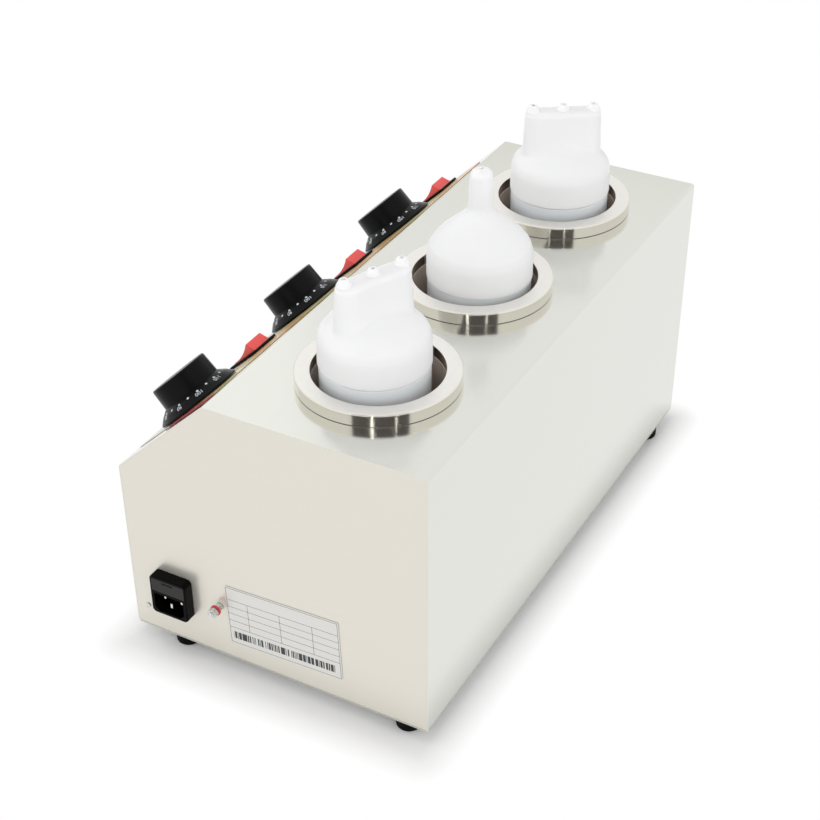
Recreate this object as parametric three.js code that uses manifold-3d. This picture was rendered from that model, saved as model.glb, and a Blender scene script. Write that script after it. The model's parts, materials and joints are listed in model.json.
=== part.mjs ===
// Hot topping warmer with three bottle wells: a folded steel casing with a sloped control face.
// Millimetres, +Z up, +X towards the mains inlet, -Y towards the control face.
import * as THREE from "three";
import { mergeVertices } from "three/addons/utils/BufferGeometryUtils.js";
import Module from "manifold-3d";

// Gaps between pieces, and how far a cutter runs past what it cuts
const FIT = 0.3;
const GLUE = 0.15;
const OVERRUN = 2;

// Facets of a full turn
const LARGE_FACETS = 28;
const MEDIUM_FACETS = 20;
const SMALL_FACETS = 12;
const TINY_FACETS = 8;
const BEND_STEPS = 4;
const ARC_STEPS = 8;
const SMALL_CORNER_STEPS = 2;

// Casing; its length follows from the wells
const CASING_DEPTH = 235;
const CASING_HEIGHT = 208;
const FRONT_HEIGHT = 137.5;
const TOP_DEPTH = 162;
const SHEET = 1;
const BEND_RADIUS = 2.4;
const FLANGE_DEPTH = 12;
const PANEL_CORNER = 2;

// Vent slots in the base plate
const VENT_COUNT = 9;
const VENT_PITCH = 30;
const VENT_LENGTH = 70;
const VENT_WIDTH = 5;

// Rubber feet
const FOOT_HEIGHT = 10.5;
const FOOT_RADIUS = 9;
const FOOT_TOE = 1.2;
const FOOT_RECESS_RADIUS = 4.6;
const FOOT_RECESS_DEPTH = 4.5;
const FOOT_INLET_INSET = 11;
const FOOT_FAR_INSET = 33;
const FOOT_FRONT_INSET = 35.4;
const FOOT_BACK_INSET = 20;
const FOOT_FAR_BACK_INSET = 9.5;

// Foot screws
const SCREW_RADIUS = 1.9;
const SCREW_HEAD_RADIUS = 3.8;
const SCREW_HEAD_HEIGHT = 2.4;
const SCREW_GRIP = 8;

// Bottle wells
const WELL_PITCH = 136;
const WELL_END_INSET = 81;
const WELL_BACK_SETBACK = 79.6;
const WELL_RADIUS = 43.8;
const WELL_DEPTH = 155;
const CUP_WALL = 0.8;
const CUP_CORNER = 8;
const CUP_FLANGE = 6.5;
const COLLAR_WIDTH = 10.8;
const COLLAR_HEIGHT = 9;
const COLLAR_WALL = 0.9;
const COLLAR_EDGE = 1.1;

// Heater bands round the cups, with the thermostat sensor in their gap
const BAND_THICKNESS = 2.4;
const BAND_HEIGHT = 70;
const BAND_BASE_DROP = 140;
const BAND_GAP = 16;
const LUG_REACH = 10;
const SENSOR_RADIUS = 3;
const SENSOR_LENGTH = 60;
const CAPILLARY_RADIUS = 0.9;
const CAPILLARY_STEPS = 10;
const CAPILLARY_LEAD = 12;

// Control face
const CONTROL_RISE = 50;
const LABEL_NEAR_INSET = 17;
const LABEL_FAR_INSET = 31;
const LABEL_WIDTH = 86;
const LABEL_THICKNESS = 0.4;
const LABEL_CORNER = 3;
const DIAL_OFFSET = 32;
const SWITCH_OFFSET = -34;

// Thermostats
const THERMOSTAT_WIDTH = 46;
const THERMOSTAT_HEIGHT = 38;
const THERMOSTAT_DEPTH = 24;
const THERMOSTAT_CORNER = 2;
const BUSH_RADIUS = 5;
const BUSH_REACH = 2.6;
const SHAFT_RADIUS = 3;
const SHAFT_SOCKET = 8;
const SHAFT_REACH = 18;

// Dials
const DIAL_LIFT = 1.25;
const SKIRT_RADIUS = 30.7;
const SKIRT_WAIST_RADIUS = 26.6;
const SKIRT_RIM = 1;
const SKIRT_WAIST_HEIGHT = 5;
const SKIRT_HEIGHT = 8.4;
const GRIP_RADIUS = 21.8;
const GRIP_DRAFT = 0.5;
const DIAL_HEIGHT = 23;
const DIAL_EDGE = 1;
const DIAL_WALL = 2.4;
const DIAL_HUB_RADIUS = 6.5;
const DIAL_HUB_LIFT = 2.4;

// Rocker switches
const BEZEL_WIDTH = 26;
const BEZEL_LENGTH = 32;
const BEZEL_THICKNESS = 1.8;
const BEZEL_CORNER = 1.5;
const BODY_WALL = 1.2;
const SWITCH_DEPTH = 24;
const SWITCH_FLOOR = 12;
const BLADE_LENGTH = 8;
const BLADE_WIDTH = 6.3;
const BLADE_THICKNESS = 0.8;
const BLADE_SPACING = 11;
const ROCKER_WIDTH = 18;
const ROCKER_HALF_LENGTH = 13.3;
const ROCKER_PEAK_HALF_LENGTH = 10.8;
const ROCKER_PEAK = 7.6;
const ROCKER_SAG = 1.8;
const ROCKER_KNEE = 3;
const ROCKER_KEEL = 6;
const ROCKER_KEEL_HALF_LENGTH = 5;
const ROCKER_PIVOT_DROP = 1;
const ROCKER_TILT_DEGREES = 17;
const TRUNNION_RADIUS = 1.2;
const TRUNNION_REACH = 1;

// Mains inlet with its fuse drawer
const INLET_SIDE_INSET = 36;
const INLET_RISE = 40.8;
const INLET_WIDTH = 30;
const INLET_HEIGHT = 33;
const INLET_REACH = 8.4;
const INLET_CORNER = 3.4;
const INLET_BODY_WIDTH = 27.4;
const INLET_BODY_HEIGHT = 29;
const INLET_BODY_DEPTH = 20;
const SOCKET_WIDTH = 24.4;
const SOCKET_HEIGHT = 15.6;
const SOCKET_DEPTH = 16.5;
const SOCKET_CORNER = 3.2;
const SOCKET_DROP = 6.4;
const PIN_SPACING = 14;
const PIN_STAGGER = 2;
const PIN_WIDTH = 2;
const PIN_HEIGHT = 4;
const PIN_LENGTH = 11.5;
const EARTH_LEAD = 2.5;
const TAB_LENGTH = 8;
const DRAWER_FACE_WIDTH = 27.2;
const DRAWER_WIDTH = 24.4;
const DRAWER_HEIGHT = 11;
const DRAWER_RISE = 8.8;
const DRAWER_FACE = 2.4;
const DRAWER_LENGTH = 20;
const DRAWER_BODY_HEIGHT = 8;
const DRAWER_WALL = 1;
const DRAWER_FLOOR = 0.9;
const FUSE_LENGTH = 20;
const FUSE_RADIUS = 2.6;
const FUSE_CAP_LENGTH = 4.5;
const FUSE_GLASS_RADIUS = 2.3;
const FUSE_POCKET_INSET = 6;

// Bonding post
const POST_SIDE_INSET = 73.5;
const POST_RISE = 43.8;
const POST_REACH = 12;
const POST_TAIL = 9;
const STUD_RADIUS = 2;
const LOCK_NUT_RADIUS = 3.7;
const LOCK_NUT_LENGTH = 3.8;
const LOCK_NUT_FACETS = 6;
const RING_RADIUS = 4;
const RING_THICKNESS = 1.6;
const NUT_RADIUS = 3.4;
const NUT_LENGTH = 4;

// Rating plate and the small screw beside the inlet
const PLATE_WIDTH = 90;
const PLATE_HEIGHT = 50;
const PLATE_THICKNESS = 0.5;
const PLATE_CORNER = 1;
const PLATE_SIDE_INSET = 124.8;
const PLATE_RISE = 41.7;
const PLATE_TILT_DEGREES = 2.4;
const END_SCREW_SIDE_INSET = 10.8;
const END_SCREW_RISE = 19;
const END_SCREW_RADIUS = 1.1;
const END_SCREW_HEAD = 1.9;
const END_SCREW_HEAD_HEIGHT = 1;
const END_SCREW_LENGTH = 7;

// Bottles
const BOTTLE_RADIUS = 36.2;
const BOTTLE_WALL = 1.4;
const BOTTLE_CORNER = 5;
const TALL_SHOULDER = 173;
const SHORT_SHOULDER = 168;
const NECK_STEP = 1.2;
const NECK_HEIGHT = 12;

// Caps
const CAP_RADIUS = 36.9;
const CAP_WALL = 1.4;
const CAP_SKIRT = 15.5;
const CAP_CROWN = 1.6;
const DOME_SHOULDER_RADIUS = 35;
const DOME_SHOULDER_RISE = 4.5;

// Cap with one tall nozzle on a high dome
const DOME_HAUNCH_RADIUS = 30.2;
const DOME_HAUNCH_RISE = 11;
const DOME_CROWN_RADIUS = 20.4;
const DOME_CROWN_RISE = 20;
const DOME_THROAT_RADIUS = 11.4;
const DOME_THROAT_RISE = 27;
const NOZZLE_RADIUS = 8.8;
const NOZZLE_BASE_RISE = 32;
const NOZZLE_TIP_RADIUS = 7.6;
const NOZZLE_TOP_RISE = 60.6;
const NOZZLE_ROUNDING = 7;
const NOZZLE_BORE = 1.3;
const NOSE_DEGREES = 75;
const NOSE_STEPS = 3;

// Cap with a flat bar and a row of three short teats
const BAR_DOME_RADIUS = 27;
const BAR_DOME_RISE = 11;
const BAR_CROWN_RADIUS = 12;
const BAR_CROWN_RISE = 18;
const BAR_LENGTH = 59;
const BAR_THICKNESS = 25;
const BAR_BASE_RISE = 8;
const BAR_TOP_LENGTH = 56;
const BAR_TOP_THICKNESS = 17;
const BAR_TOP_RISE = 43.2;
const BAR_ROUNDING = 4.6;
const TEAT_SPACING = 22;
const TEAT_RADIUS = 4.6;
const TEAT_TIP_RADIUS = 2.8;
const TEAT_HEIGHT = 4;

// One bottle to a well, from the inlet end; each stands off centre by shares of its play in the well
const BOTTLES = [
  { shoulder: TALL_SHOULDER, cap: "bar", turnDegrees: 156, shiftShares: [0.13, -0.24] },
  { shoulder: SHORT_SHOULDER, cap: "nozzle", turnDegrees: 0, shiftShares: [-0.19, 0.36] },
  { shoulder: TALL_SHOULDER, cap: "bar", turnDegrees: 123, shiftShares: [-0.09, 0.18] },
];

// Wiring inside the casing
const BLOCK_LENGTH = 42;
const BLOCK_WIDTH = 22;
const BLOCK_HEIGHT = 16;
const BLOCK_SIDE_INSET = 40;
const BLOCK_END_INSET = 62;
const BLOCK_GROOVE = 3;
const BLOCK_GROOVES = 3;
const LOOM_RADIUS = 3.2;
const LEAD_RADIUS = 1.8;
const LOOM_RISE = 9;
const LEAD_STEPS = 5;
const LEAD_SIDES = 5;
const TAIL_RISE = 30;

// Worked out from the sizes above
const SLOPE_ANGLE = Math.atan2(CASING_HEIGHT - FRONT_HEIGHT, CASING_DEPTH - TOP_DEPTH);
const WELL_COUNT = BOTTLES.length;
const CASING_LENGTH = (WELL_COUNT - 1) * WELL_PITCH + 2 * WELL_END_INSET;
const HALF_LENGTH = CASING_LENGTH / 2;
const HALF_DEPTH = CASING_DEPTH / 2;
const WELL_Y = HALF_DEPTH - WELL_BACK_SETBACK;
const CUP_RADIUS = WELL_RADIUS + CUP_WALL;
const COLLAR_RADIUS = WELL_RADIUS + COLLAR_WIDTH;
const LABEL_TOP = GLUE + LABEL_THICKNESS;
const SWITCH_SEAT = LABEL_TOP + FIT;
const BODY_WIDTH = ROCKER_WIDTH + 2 * (FIT + BODY_WALL);
const CAVITY_LENGTH = 2 * (ROCKER_HALF_LENGTH + 2 * FIT);
const BODY_LENGTH = CAVITY_LENGTH + 2 * BODY_WALL;
const INLET_Y = INLET_SIDE_INSET - HALF_DEPTH;
const POST_Y = POST_SIDE_INSET - HALF_DEPTH;
const PLATE_Y = PLATE_SIDE_INSET - HALF_DEPTH;
const END_SCREW_Y = END_SCREW_SIDE_INSET - HALF_DEPTH;
const SHELL_LIFT = SHEET + FIT;
const CAP_BORE = BOTTLE_RADIUS - NECK_STEP + FIT;
const BOTTLE_PLAY = WELL_RADIUS - BOTTLE_RADIUS;
const LOOM_Y = BLOCK_SIDE_INSET - HALF_DEPTH;
const BAND_BASE = CASING_HEIGHT - BAND_BASE_DROP;
const WELL_INDEXES = [...Array(WELL_COUNT).keys()];
const wellX = (index) => ((WELL_COUNT - 1) / 2 - index) * WELL_PITCH;

// Colours
const PALE_STEEL = new THREE.Color(0.82, 0.82, 0.78);
const POLISHED_STEEL = new THREE.Color(0.85, 0.84, 0.8);
const ZINC = new THREE.Color(0.75, 0.75, 0.73);
const BLACK = new THREE.Color(0.03, 0.03, 0.03);
const DARK_GREY = new THREE.Color(0.09, 0.09, 0.09);
const RED = new THREE.Color(0.8, 0.08, 0.08);
const KHAKI = new THREE.Color(0.6, 0.55, 0.35);
const MICA = new THREE.Color(0.7, 0.66, 0.5);
const WHITE = new THREE.Color(0.95, 0.95, 0.95);
const CLOUDY = new THREE.Color(0.82, 0.85, 0.87);
const GLASS = new THREE.Color(0.9, 0.92, 0.92);

const MATT = 0.6;
const SATIN = 0.35;
const GLOSSY = 0.15;
const METAL = 1;
const NOT_METAL = 0;

const wasm = await Module();
wasm.setup();

/** A closed geometry as a solid that can be joined and cut. */
function solidOf(geometry) {
  const bare = geometry.clone();
  bare.deleteAttribute("normal");
  bare.deleteAttribute("uv");
  const merged = mergeVertices(bare);
  return new wasm.Manifold(
    new wasm.Mesh({
      numProp: 3,
      vertProperties: merged.getAttribute("position").array,
      triVerts: new Uint32Array(merged.index.array),
    }),
  );
}

/** The surface of a solid as a geometry. */
function geometryOf(solid) {
  const mesh = solid.getMesh();
  const geometry = new THREE.BufferGeometry();
  geometry.setAttribute("position", new THREE.BufferAttribute(mesh.vertProperties, mesh.numProp));
  geometry.setIndex(new THREE.BufferAttribute(mesh.triVerts, 1));
  geometry.computeVertexNormals();
  return geometry;
}

/** The first geometry less all the others. */
function cut(geometry, ...cutters) {
  return geometryOf(cutters.reduce((solid, cutter) => solid.subtract(solidOf(cutter)), solidOf(geometry)));
}

/** All the geometries as one. */
function join(geometry, ...others) {
  return geometryOf(others.reduce((solid, other) => solid.add(solidOf(other)), solidOf(geometry)));
}

/** A solid of revolution about +Z, from radius and height pairs. */
function turned(pairs, facets) {
  const points = pairs.map(([radius, height]) => new THREE.Vector2(radius, height));
  const closed = points[0].x === 0 && points.at(-1).x === 0;
  if (THREE.ShapeUtils.area(points) < 0) points.reverse();
  if (!closed) points.push(points[0].clone());
  return new THREE.LatheGeometry(points, facets).rotateX(Math.PI / 2);
}

/** A rod about +Z between two heights. */
function rod(radius, bottom, top, facets = SMALL_FACETS) {
  return turned([[0, bottom], [radius, bottom], [radius, top], [0, top]], facets);
}

/** A box from its size, centred at a point. */
function block(width, depth, height, x = 0, y = 0, z = 0) {
  return new THREE.BoxGeometry(width, depth, height).translate(x, y, z);
}

/** Points of the arc that rounds one corner of an outline. */
function filletPoints(before, corner, after, radius, steps) {
  const inward = before.clone().sub(corner).normalize();
  const outward = after.clone().sub(corner).normalize();
  const half = Math.acos(THREE.MathUtils.clamp(inward.dot(outward), -1, 1)) / 2;
  const middle = inward.clone().add(outward).normalize();
  const centre = middle.multiplyScalar(radius / Math.sin(half)).add(corner);
  const reach = radius / Math.tan(half);
  const from = inward.multiplyScalar(reach).add(corner).sub(centre);
  const to = outward.multiplyScalar(reach).add(corner).sub(centre);
  const sweep = Math.atan2(from.cross(to), from.dot(to));
  return Array.from({ length: steps + 1 }, (_, k) =>
    from.clone().rotateAround(new THREE.Vector2(), (sweep * k) / steps).add(centre),
  );
}

/** An outline with its corners rounded; each corner is x, y and a radius. */
function roundedOutline(corners, steps = BEND_STEPS) {
  const at = (k) => new THREE.Vector2(...corners[(k + corners.length) % corners.length]);
  return corners.flatMap(([x, y, radius], k) =>
    radius > 0 ? filletPoints(at(k - 1), at(k), at(k + 1), radius, steps) : [new THREE.Vector2(x, y)],
  );
}

/** A rectangle with round corners, centred on the origin. */
function roundedRectangle(width, height, radius, steps = BEND_STEPS) {
  const [x, y] = [width / 2, height / 2];
  return roundedOutline([[-x, -y, radius], [x, -y, radius], [x, y, radius], [-x, y, radius]], steps);
}

/** An outline in XY pushed along +Z from one height to another. */
function prism(outline, bottom, top) {
  const settings = { depth: top - bottom, bevelEnabled: false };
  return new THREE.ExtrudeGeometry(new THREE.Shape(outline), settings).translate(0, 0, bottom);
}

/** Turns X, Y and Z into Y, Z and X, so that an outline in XY comes to lie across the length. */
const ACROSS = new THREE.Matrix4().makeBasis(
  new THREE.Vector3(0, 1, 0),
  new THREE.Vector3(0, 0, 1),
  new THREE.Vector3(1, 0, 0),
);

/** Turns a solid drawn in XY and pushed along Z so that it lies in YZ and is pushed along X. */
function facingX(geometry) {
  return geometry.applyMatrix4(ACROSS);
}

/** A wire along points, as a tube of a few sides. */
function wire(points, radius, sides, steps) {
  const places = points.map((point) => new THREE.Vector3(...point));
  const extrudePath = new THREE.CatmullRomCurve3(places, false, "centripetal");
  const section = Array.from({ length: sides }, (_, k) => {
    const angle = (2 * Math.PI * k) / sides;
    return new THREE.Vector2(radius * Math.cos(angle), radius * Math.sin(angle));
  });
  return new THREE.ExtrudeGeometry(new THREE.Shape(section), { steps, extrudePath, bevelEnabled: false });
}

/** The four outer corners of the casing's bent sheet in depth and height, from the front foot up and over. */
function casingCorners(bottom) {
  return [
    [-HALF_DEPTH, bottom],
    [-HALF_DEPTH, FRONT_HEIGHT],
    [HALF_DEPTH - TOP_DEPTH, CASING_HEIGHT],
    [HALF_DEPTH, CASING_HEIGHT],
    [HALF_DEPTH, bottom],
  ];
}

/** The casing's corners moved inward by a distance, with their bend radius as a third number. */
function insetCorners(distance, bottom) {
  const rise = distance * Math.tan(SLOPE_ANGLE / 2);
  const run = distance * Math.tan((Math.PI / 2 - SLOPE_ANGLE) / 2);
  const radius = Math.max(BEND_RADIUS - distance, SHEET / 2);
  const [low, front, top, back, end] = casingCorners(bottom);
  return [
    [low[0] + distance, low[1], 0],
    [front[0] + distance, front[1] - run, radius],
    [top[0] + rise, top[1] - distance, radius],
    [back[0] - distance, back[1] - distance, radius],
    [end[0] - distance, end[1], 0],
  ];
}

/** A cutter for each well, as wide as the cup and through the top sheet. */
function wellCutters() {
  const radius = CUP_RADIUS + FIT;
  return WELL_INDEXES.map((index) =>
    rod(radius, CASING_HEIGHT - BEND_RADIUS - SHEET, CASING_HEIGHT + OVERRUN, LARGE_FACETS)
      .translate(wellX(index), WELL_Y, 0),
  );
}

/** Places a geometry of the control face, drawn with +Y up the slope and +Z out of it. */
function ontoSlope(geometry) {
  return geometry.rotateX(SLOPE_ANGLE).translate(0, -HALF_DEPTH, FRONT_HEIGHT);
}

/** Cutters for the bushes and the switch bodies, drawn on the control face. */
function controlCutters(bottom, top) {
  return WELL_INDEXES.flatMap((index) => [
    rod(BUSH_RADIUS + FIT, bottom, top).translate(wellX(index) + DIAL_OFFSET, CONTROL_RISE, 0),
    block(BODY_WIDTH + 2 * FIT, BODY_LENGTH + 2 * FIT, top - bottom)
      .translate(wellX(index) + SWITCH_OFFSET, CONTROL_RISE, (top + bottom) / 2),
  ]);
}

/** Front, control face, top and back, bent from one sheet. */
function casingShell() {
  const outer = insetCorners(0, SHELL_LIFT);
  const inner = insetCorners(SHEET, SHELL_LIFT).reverse();
  const sheet = facingX(prism(roundedOutline([...outer, ...inner]), -HALF_LENGTH, HALF_LENGTH));
  const slopeCutters = controlCutters(-SHEET - OVERRUN, OVERRUN).map(ontoSlope);
  return cut(sheet, ...wellCutters(), ...slopeCutters);
}

/** An end panel as a shallow tray that fits inside the bent sheet, its face at the given end. */
function endPanel(side, ...holes) {
  const face = side * HALF_LENGTH;
  const back = side * (HALF_LENGTH - FLANGE_DEPTH);
  const inside = side * (HALF_LENGTH - SHEET);
  const tray = (distance, bottom, from, to) =>
    facingX(prism(roundedOutline(insetCorners(distance, bottom)), Math.min(from, to), Math.max(from, to)));
  const hollow = tray(2 * SHEET + FIT, SHELL_LIFT + SHEET, inside, back - side * OVERRUN);
  return cut(tray(SHEET + FIT, SHELL_LIFT, face, back), hollow, ...footHoles(), ...holes);
}

/** Places a geometry drawn with +Z out of the inlet's end panel, +X towards the back and +Y up. */
function ontoEnd(geometry, y, z) {
  return facingX(geometry).translate(HALF_LENGTH, y, z);
}

/** Holes of the inlet's end panel. */
function inletPanelHoles() {
  const depth = SHEET + OVERRUN;
  const through = (geometry, y, z) => ontoEnd(geometry, y, z);
  return [
    through(
      block(INLET_BODY_WIDTH + 2 * FIT, INLET_BODY_HEIGHT + 2 * FIT, 2 * depth),
      INLET_Y,
      INLET_RISE,
    ),
    through(rod(STUD_RADIUS + FIT, -depth, depth), POST_Y, POST_RISE),
    through(rod(END_SCREW_RADIUS + FIT, -depth, depth, TINY_FACETS), END_SCREW_Y, END_SCREW_RISE),
  ];
}

/** Places of the four feet, as x and y. */
function footPlaces() {
  const near = HALF_LENGTH - FOOT_INLET_INSET;
  const far = FOOT_FAR_INSET - HALF_LENGTH;
  const front = FOOT_FRONT_INSET - HALF_DEPTH;
  return [
    [near, front],
    [near, HALF_DEPTH - FOOT_BACK_INSET],
    [far, front],
    [far, HALF_DEPTH - FOOT_FAR_BACK_INSET],
  ];
}

/** Cutters for the foot screws, from below the base plate to above the end panels' flanges. */
function footHoles() {
  const top = SHELL_LIFT + SHEET + OVERRUN;
  const radius = SCREW_RADIUS + FIT;
  return footPlaces().map(([x, y]) => rod(radius, -OVERRUN, top, TINY_FACETS).translate(x, y, 0));
}

/** Base plate with an upturned flange at front and back, vent slots and screw holes. */
function basePlate() {
  const corners = roundedRectangle(CASING_LENGTH, CASING_DEPTH, PANEL_CORNER);
  const plate = prism(corners, 0, SHEET);
  const length = CASING_LENGTH - 2 * (FLANGE_DEPTH + FIT + SHEET);
  const flangeY = HALF_DEPTH - SHEET - FIT - SHEET / 2;
  const flanges = [-1, 1].map((side) =>
    block(length, SHEET, FLANGE_DEPTH, 0, side * flangeY, FLANGE_DEPTH / 2),
  );
  const middle = (VENT_COUNT - 1) / 2;
  const slot = roundedRectangle(VENT_WIDTH, VENT_LENGTH, VENT_WIDTH / 2 - FIT, SMALL_CORNER_STEPS);
  const vents = [...Array(VENT_COUNT).keys()].map((k) =>
    prism(slot, -OVERRUN, SHEET + OVERRUN).translate((k - middle) * VENT_PITCH, WELL_Y, 0),
  );
  return cut(join(plate, ...flanges), ...vents, ...footHoles());
}

/** Rubber foot hanging below the base plate, with a recess for its screw. */
function foot() {
  const toe = FOOT_RADIUS - FOOT_TOE;
  const bore = SCREW_RADIUS + FIT;
  const seat = -FOOT_HEIGHT + FOOT_RECESS_DEPTH;
  return turned(
    [
      [bore, -FIT],
      [FOOT_RADIUS, -FIT],
      [FOOT_RADIUS, -FOOT_HEIGHT + FOOT_TOE],
      [toe, -FOOT_HEIGHT],
      [FOOT_RECESS_RADIUS, -FOOT_HEIGHT],
      [FOOT_RECESS_RADIUS, seat],
      [bore, seat],
    ],
    SMALL_FACETS,
  );
}

/** Pan-head screw that stands up through a foot and the base plate. */
function footScrew() {
  const seat = -FOOT_HEIGHT + FOOT_RECESS_DEPTH - FIT;
  return turned(
    [
      [0, seat - SCREW_HEAD_HEIGHT],
      [SCREW_HEAD_RADIUS, seat - SCREW_HEAD_HEIGHT],
      [SCREW_HEAD_RADIUS, seat],
      [SCREW_RADIUS, seat],
      [SCREW_RADIUS, seat + SCREW_GRIP + SCREW_HEAD_HEIGHT],
      [0, seat + SCREW_GRIP + SCREW_HEAD_HEIGHT],
    ],
    TINY_FACETS,
  );
}

/** Deep-drawn cup, open at the top, whose flange lies on the top sheet; the height zero is that sheet. */
function wellCup() {
  const floor = -WELL_DEPTH;
  const flange = CUP_RADIUS + CUP_FLANGE;
  return turned(
    [
      [0, floor],
      [WELL_RADIUS - CUP_CORNER, floor],
      [WELL_RADIUS, floor + CUP_CORNER],
      [WELL_RADIUS, FIT + CUP_WALL],
      [flange, FIT + CUP_WALL],
      [flange, FIT],
      [CUP_RADIUS, FIT],
      [CUP_RADIUS, floor + CUP_CORNER - CUP_WALL / 2],
      [WELL_RADIUS - CUP_CORNER + CUP_WALL / 2, floor - CUP_WALL],
      [0, floor - CUP_WALL],
    ],
    LARGE_FACETS,
  );
}

/** Polished collar, a ring of channel section over the cup's flange. */
function collarRing() {
  const foot = 2 * FIT + CUP_WALL;
  const roof = COLLAR_HEIGHT - COLLAR_WALL;
  return turned(
    [
      [COLLAR_RADIUS, FIT],
      [COLLAR_RADIUS, COLLAR_HEIGHT - COLLAR_EDGE],
      [COLLAR_RADIUS - COLLAR_EDGE, COLLAR_HEIGHT],
      [WELL_RADIUS, COLLAR_HEIGHT],
      [WELL_RADIUS, foot],
      [WELL_RADIUS + COLLAR_WALL, foot],
      [WELL_RADIUS + COLLAR_WALL, roof],
      [COLLAR_RADIUS - COLLAR_WALL, roof],
      [COLLAR_RADIUS - COLLAR_WALL, FIT],
    ],
    LARGE_FACETS,
  );
}

/** Heater band round a cup, open at the front, where two lugs stand out. */
function heaterBand() {
  const clear = CUP_RADIUS + FIT;
  const halfGap = Math.asin(BAND_GAP / 2 / clear);
  const start = -Math.PI / 2 + halfGap;
  const sweep = 2 * (Math.PI - halfGap);
  const inner = clear / Math.cos(sweep / MEDIUM_FACETS / 2);
  const outer = inner + BAND_THICKNESS;
  const arc = (radius) =>
    Array.from({ length: MEDIUM_FACETS + 1 }, (_, k) => {
      const angle = start + (sweep * k) / MEDIUM_FACETS;
      return new THREE.Vector2(radius * Math.cos(angle), radius * Math.sin(angle));
    });
  const band = prism([...arc(outer), ...arc(inner).reverse()], 0, BAND_HEIGHT);
  const lugX = BAND_GAP / 2 + BAND_THICKNESS / 2 + FIT;
  const lugDepth = LUG_REACH + BAND_THICKNESS;
  const lugs = [-1, 1].map((side) =>
    block(BAND_THICKNESS, lugDepth, BAND_HEIGHT, side * lugX, -inner - lugDepth / 2, BAND_HEIGHT / 2),
  );
  return join(band, ...lugs);
}

/** Printed overlay that covers the control face. */
function controlLabel() {
  const length = CASING_LENGTH - LABEL_NEAR_INSET - LABEL_FAR_INSET;
  const middle = (LABEL_FAR_INSET - LABEL_NEAR_INSET) / 2;
  const sheet = prism(roundedRectangle(length, LABEL_WIDTH, LABEL_CORNER), GLUE, LABEL_TOP)
    .translate(middle, CONTROL_RISE, 0);
  return cut(sheet, ...controlCutters(-OVERRUN, LABEL_TOP + OVERRUN));
}

/** Thermostat body under the control face, with its threaded bush through it. */
function thermostat() {
  const top = -SHEET - FIT;
  const corners = [THERMOSTAT_CORNER, SMALL_CORNER_STEPS];
  const outline = roundedRectangle(THERMOSTAT_WIDTH, THERMOSTAT_HEIGHT, ...corners);
  const body = prism(outline, top - THERMOSTAT_DEPTH, top);
  const bush = rod(BUSH_RADIUS, top - SHEET, BUSH_REACH);
  const bore = rod(SHAFT_RADIUS + FIT, -SHAFT_SOCKET - FIT, BUSH_REACH + OVERRUN);
  return cut(join(body, bush), bore);
}

/** Control spindle that turns in the thermostat's bush. */
function thermostatShaft() {
  return rod(SHAFT_RADIUS, -SHAFT_SOCKET, SHAFT_REACH);
}

/** Moulded dial: a cylinder grip on a flared skirt, hollow underneath round its hub. */
function dial() {
  const top = DIAL_LIFT + DIAL_HEIGHT;
  const waist = DIAL_LIFT + SKIRT_WAIST_HEIGHT;
  const neck = DIAL_LIFT + SKIRT_HEIGHT;
  const roof = top - DIAL_WALL;
  const bore = SHAFT_RADIUS + FIT;
  return turned(
    [
      [0, top],
      [GRIP_RADIUS - GRIP_DRAFT - DIAL_EDGE, top],
      [GRIP_RADIUS - GRIP_DRAFT, top - DIAL_EDGE],
      [GRIP_RADIUS, neck],
      [SKIRT_WAIST_RADIUS, waist],
      [SKIRT_RADIUS, DIAL_LIFT + SKIRT_RIM],
      [SKIRT_RADIUS, DIAL_LIFT],
      [SKIRT_RADIUS - DIAL_WALL, DIAL_LIFT],
      [GRIP_RADIUS - DIAL_WALL, waist],
      [GRIP_RADIUS - DIAL_WALL, roof],
      [DIAL_HUB_RADIUS, roof],
      [DIAL_HUB_RADIUS, DIAL_LIFT + DIAL_HUB_LIFT],
      [bore, DIAL_LIFT + DIAL_HUB_LIFT],
      [bore, SHAFT_REACH + FIT],
      [0, SHAFT_REACH + FIT],
    ],
    LARGE_FACETS,
  );
}

/** Housing of a rocker switch: a bezel on the overlay, a body below it and its blades. */
function switchHousing() {
  const top = SWITCH_SEAT + BEZEL_THICKNESS;
  const bottom = SWITCH_SEAT - SWITCH_DEPTH;
  const outline = roundedRectangle(BEZEL_WIDTH, BEZEL_LENGTH, BEZEL_CORNER, SMALL_CORNER_STEPS);
  const bezel = prism(outline, SWITCH_SEAT, top);
  const body = block(BODY_WIDTH, BODY_LENGTH, SWITCH_SEAT - bottom, 0, 0, (SWITCH_SEAT + bottom) / 2);
  const blades = [-1, 1].flatMap((side) =>
    [-1, 1].map((end) =>
      block(BLADE_WIDTH, BLADE_THICKNESS, 2 * BLADE_LENGTH).translate(
        (side * BODY_WIDTH) / 4,
        (end * BLADE_SPACING) / 2,
        bottom,
      ),
    ),
  );
  const floor = SWITCH_SEAT - SWITCH_FLOOR;
  const depth = top + OVERRUN - floor;
  const cavity = block(ROCKER_WIDTH + 2 * FIT, CAVITY_LENGTH, depth, 0, 0, floor + depth / 2);
  const reach = ROCKER_WIDTH / 2 + TRUNNION_REACH + FIT;
  const bearing = rod(TRUNNION_RADIUS + FIT, -reach, reach, TINY_FACETS)
    .rotateY(Math.PI / 2)
    .translate(0, 0, -ROCKER_PIVOT_DROP);
  return cut(join(body, bezel, ...blades), cavity, bearing);
}

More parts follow.
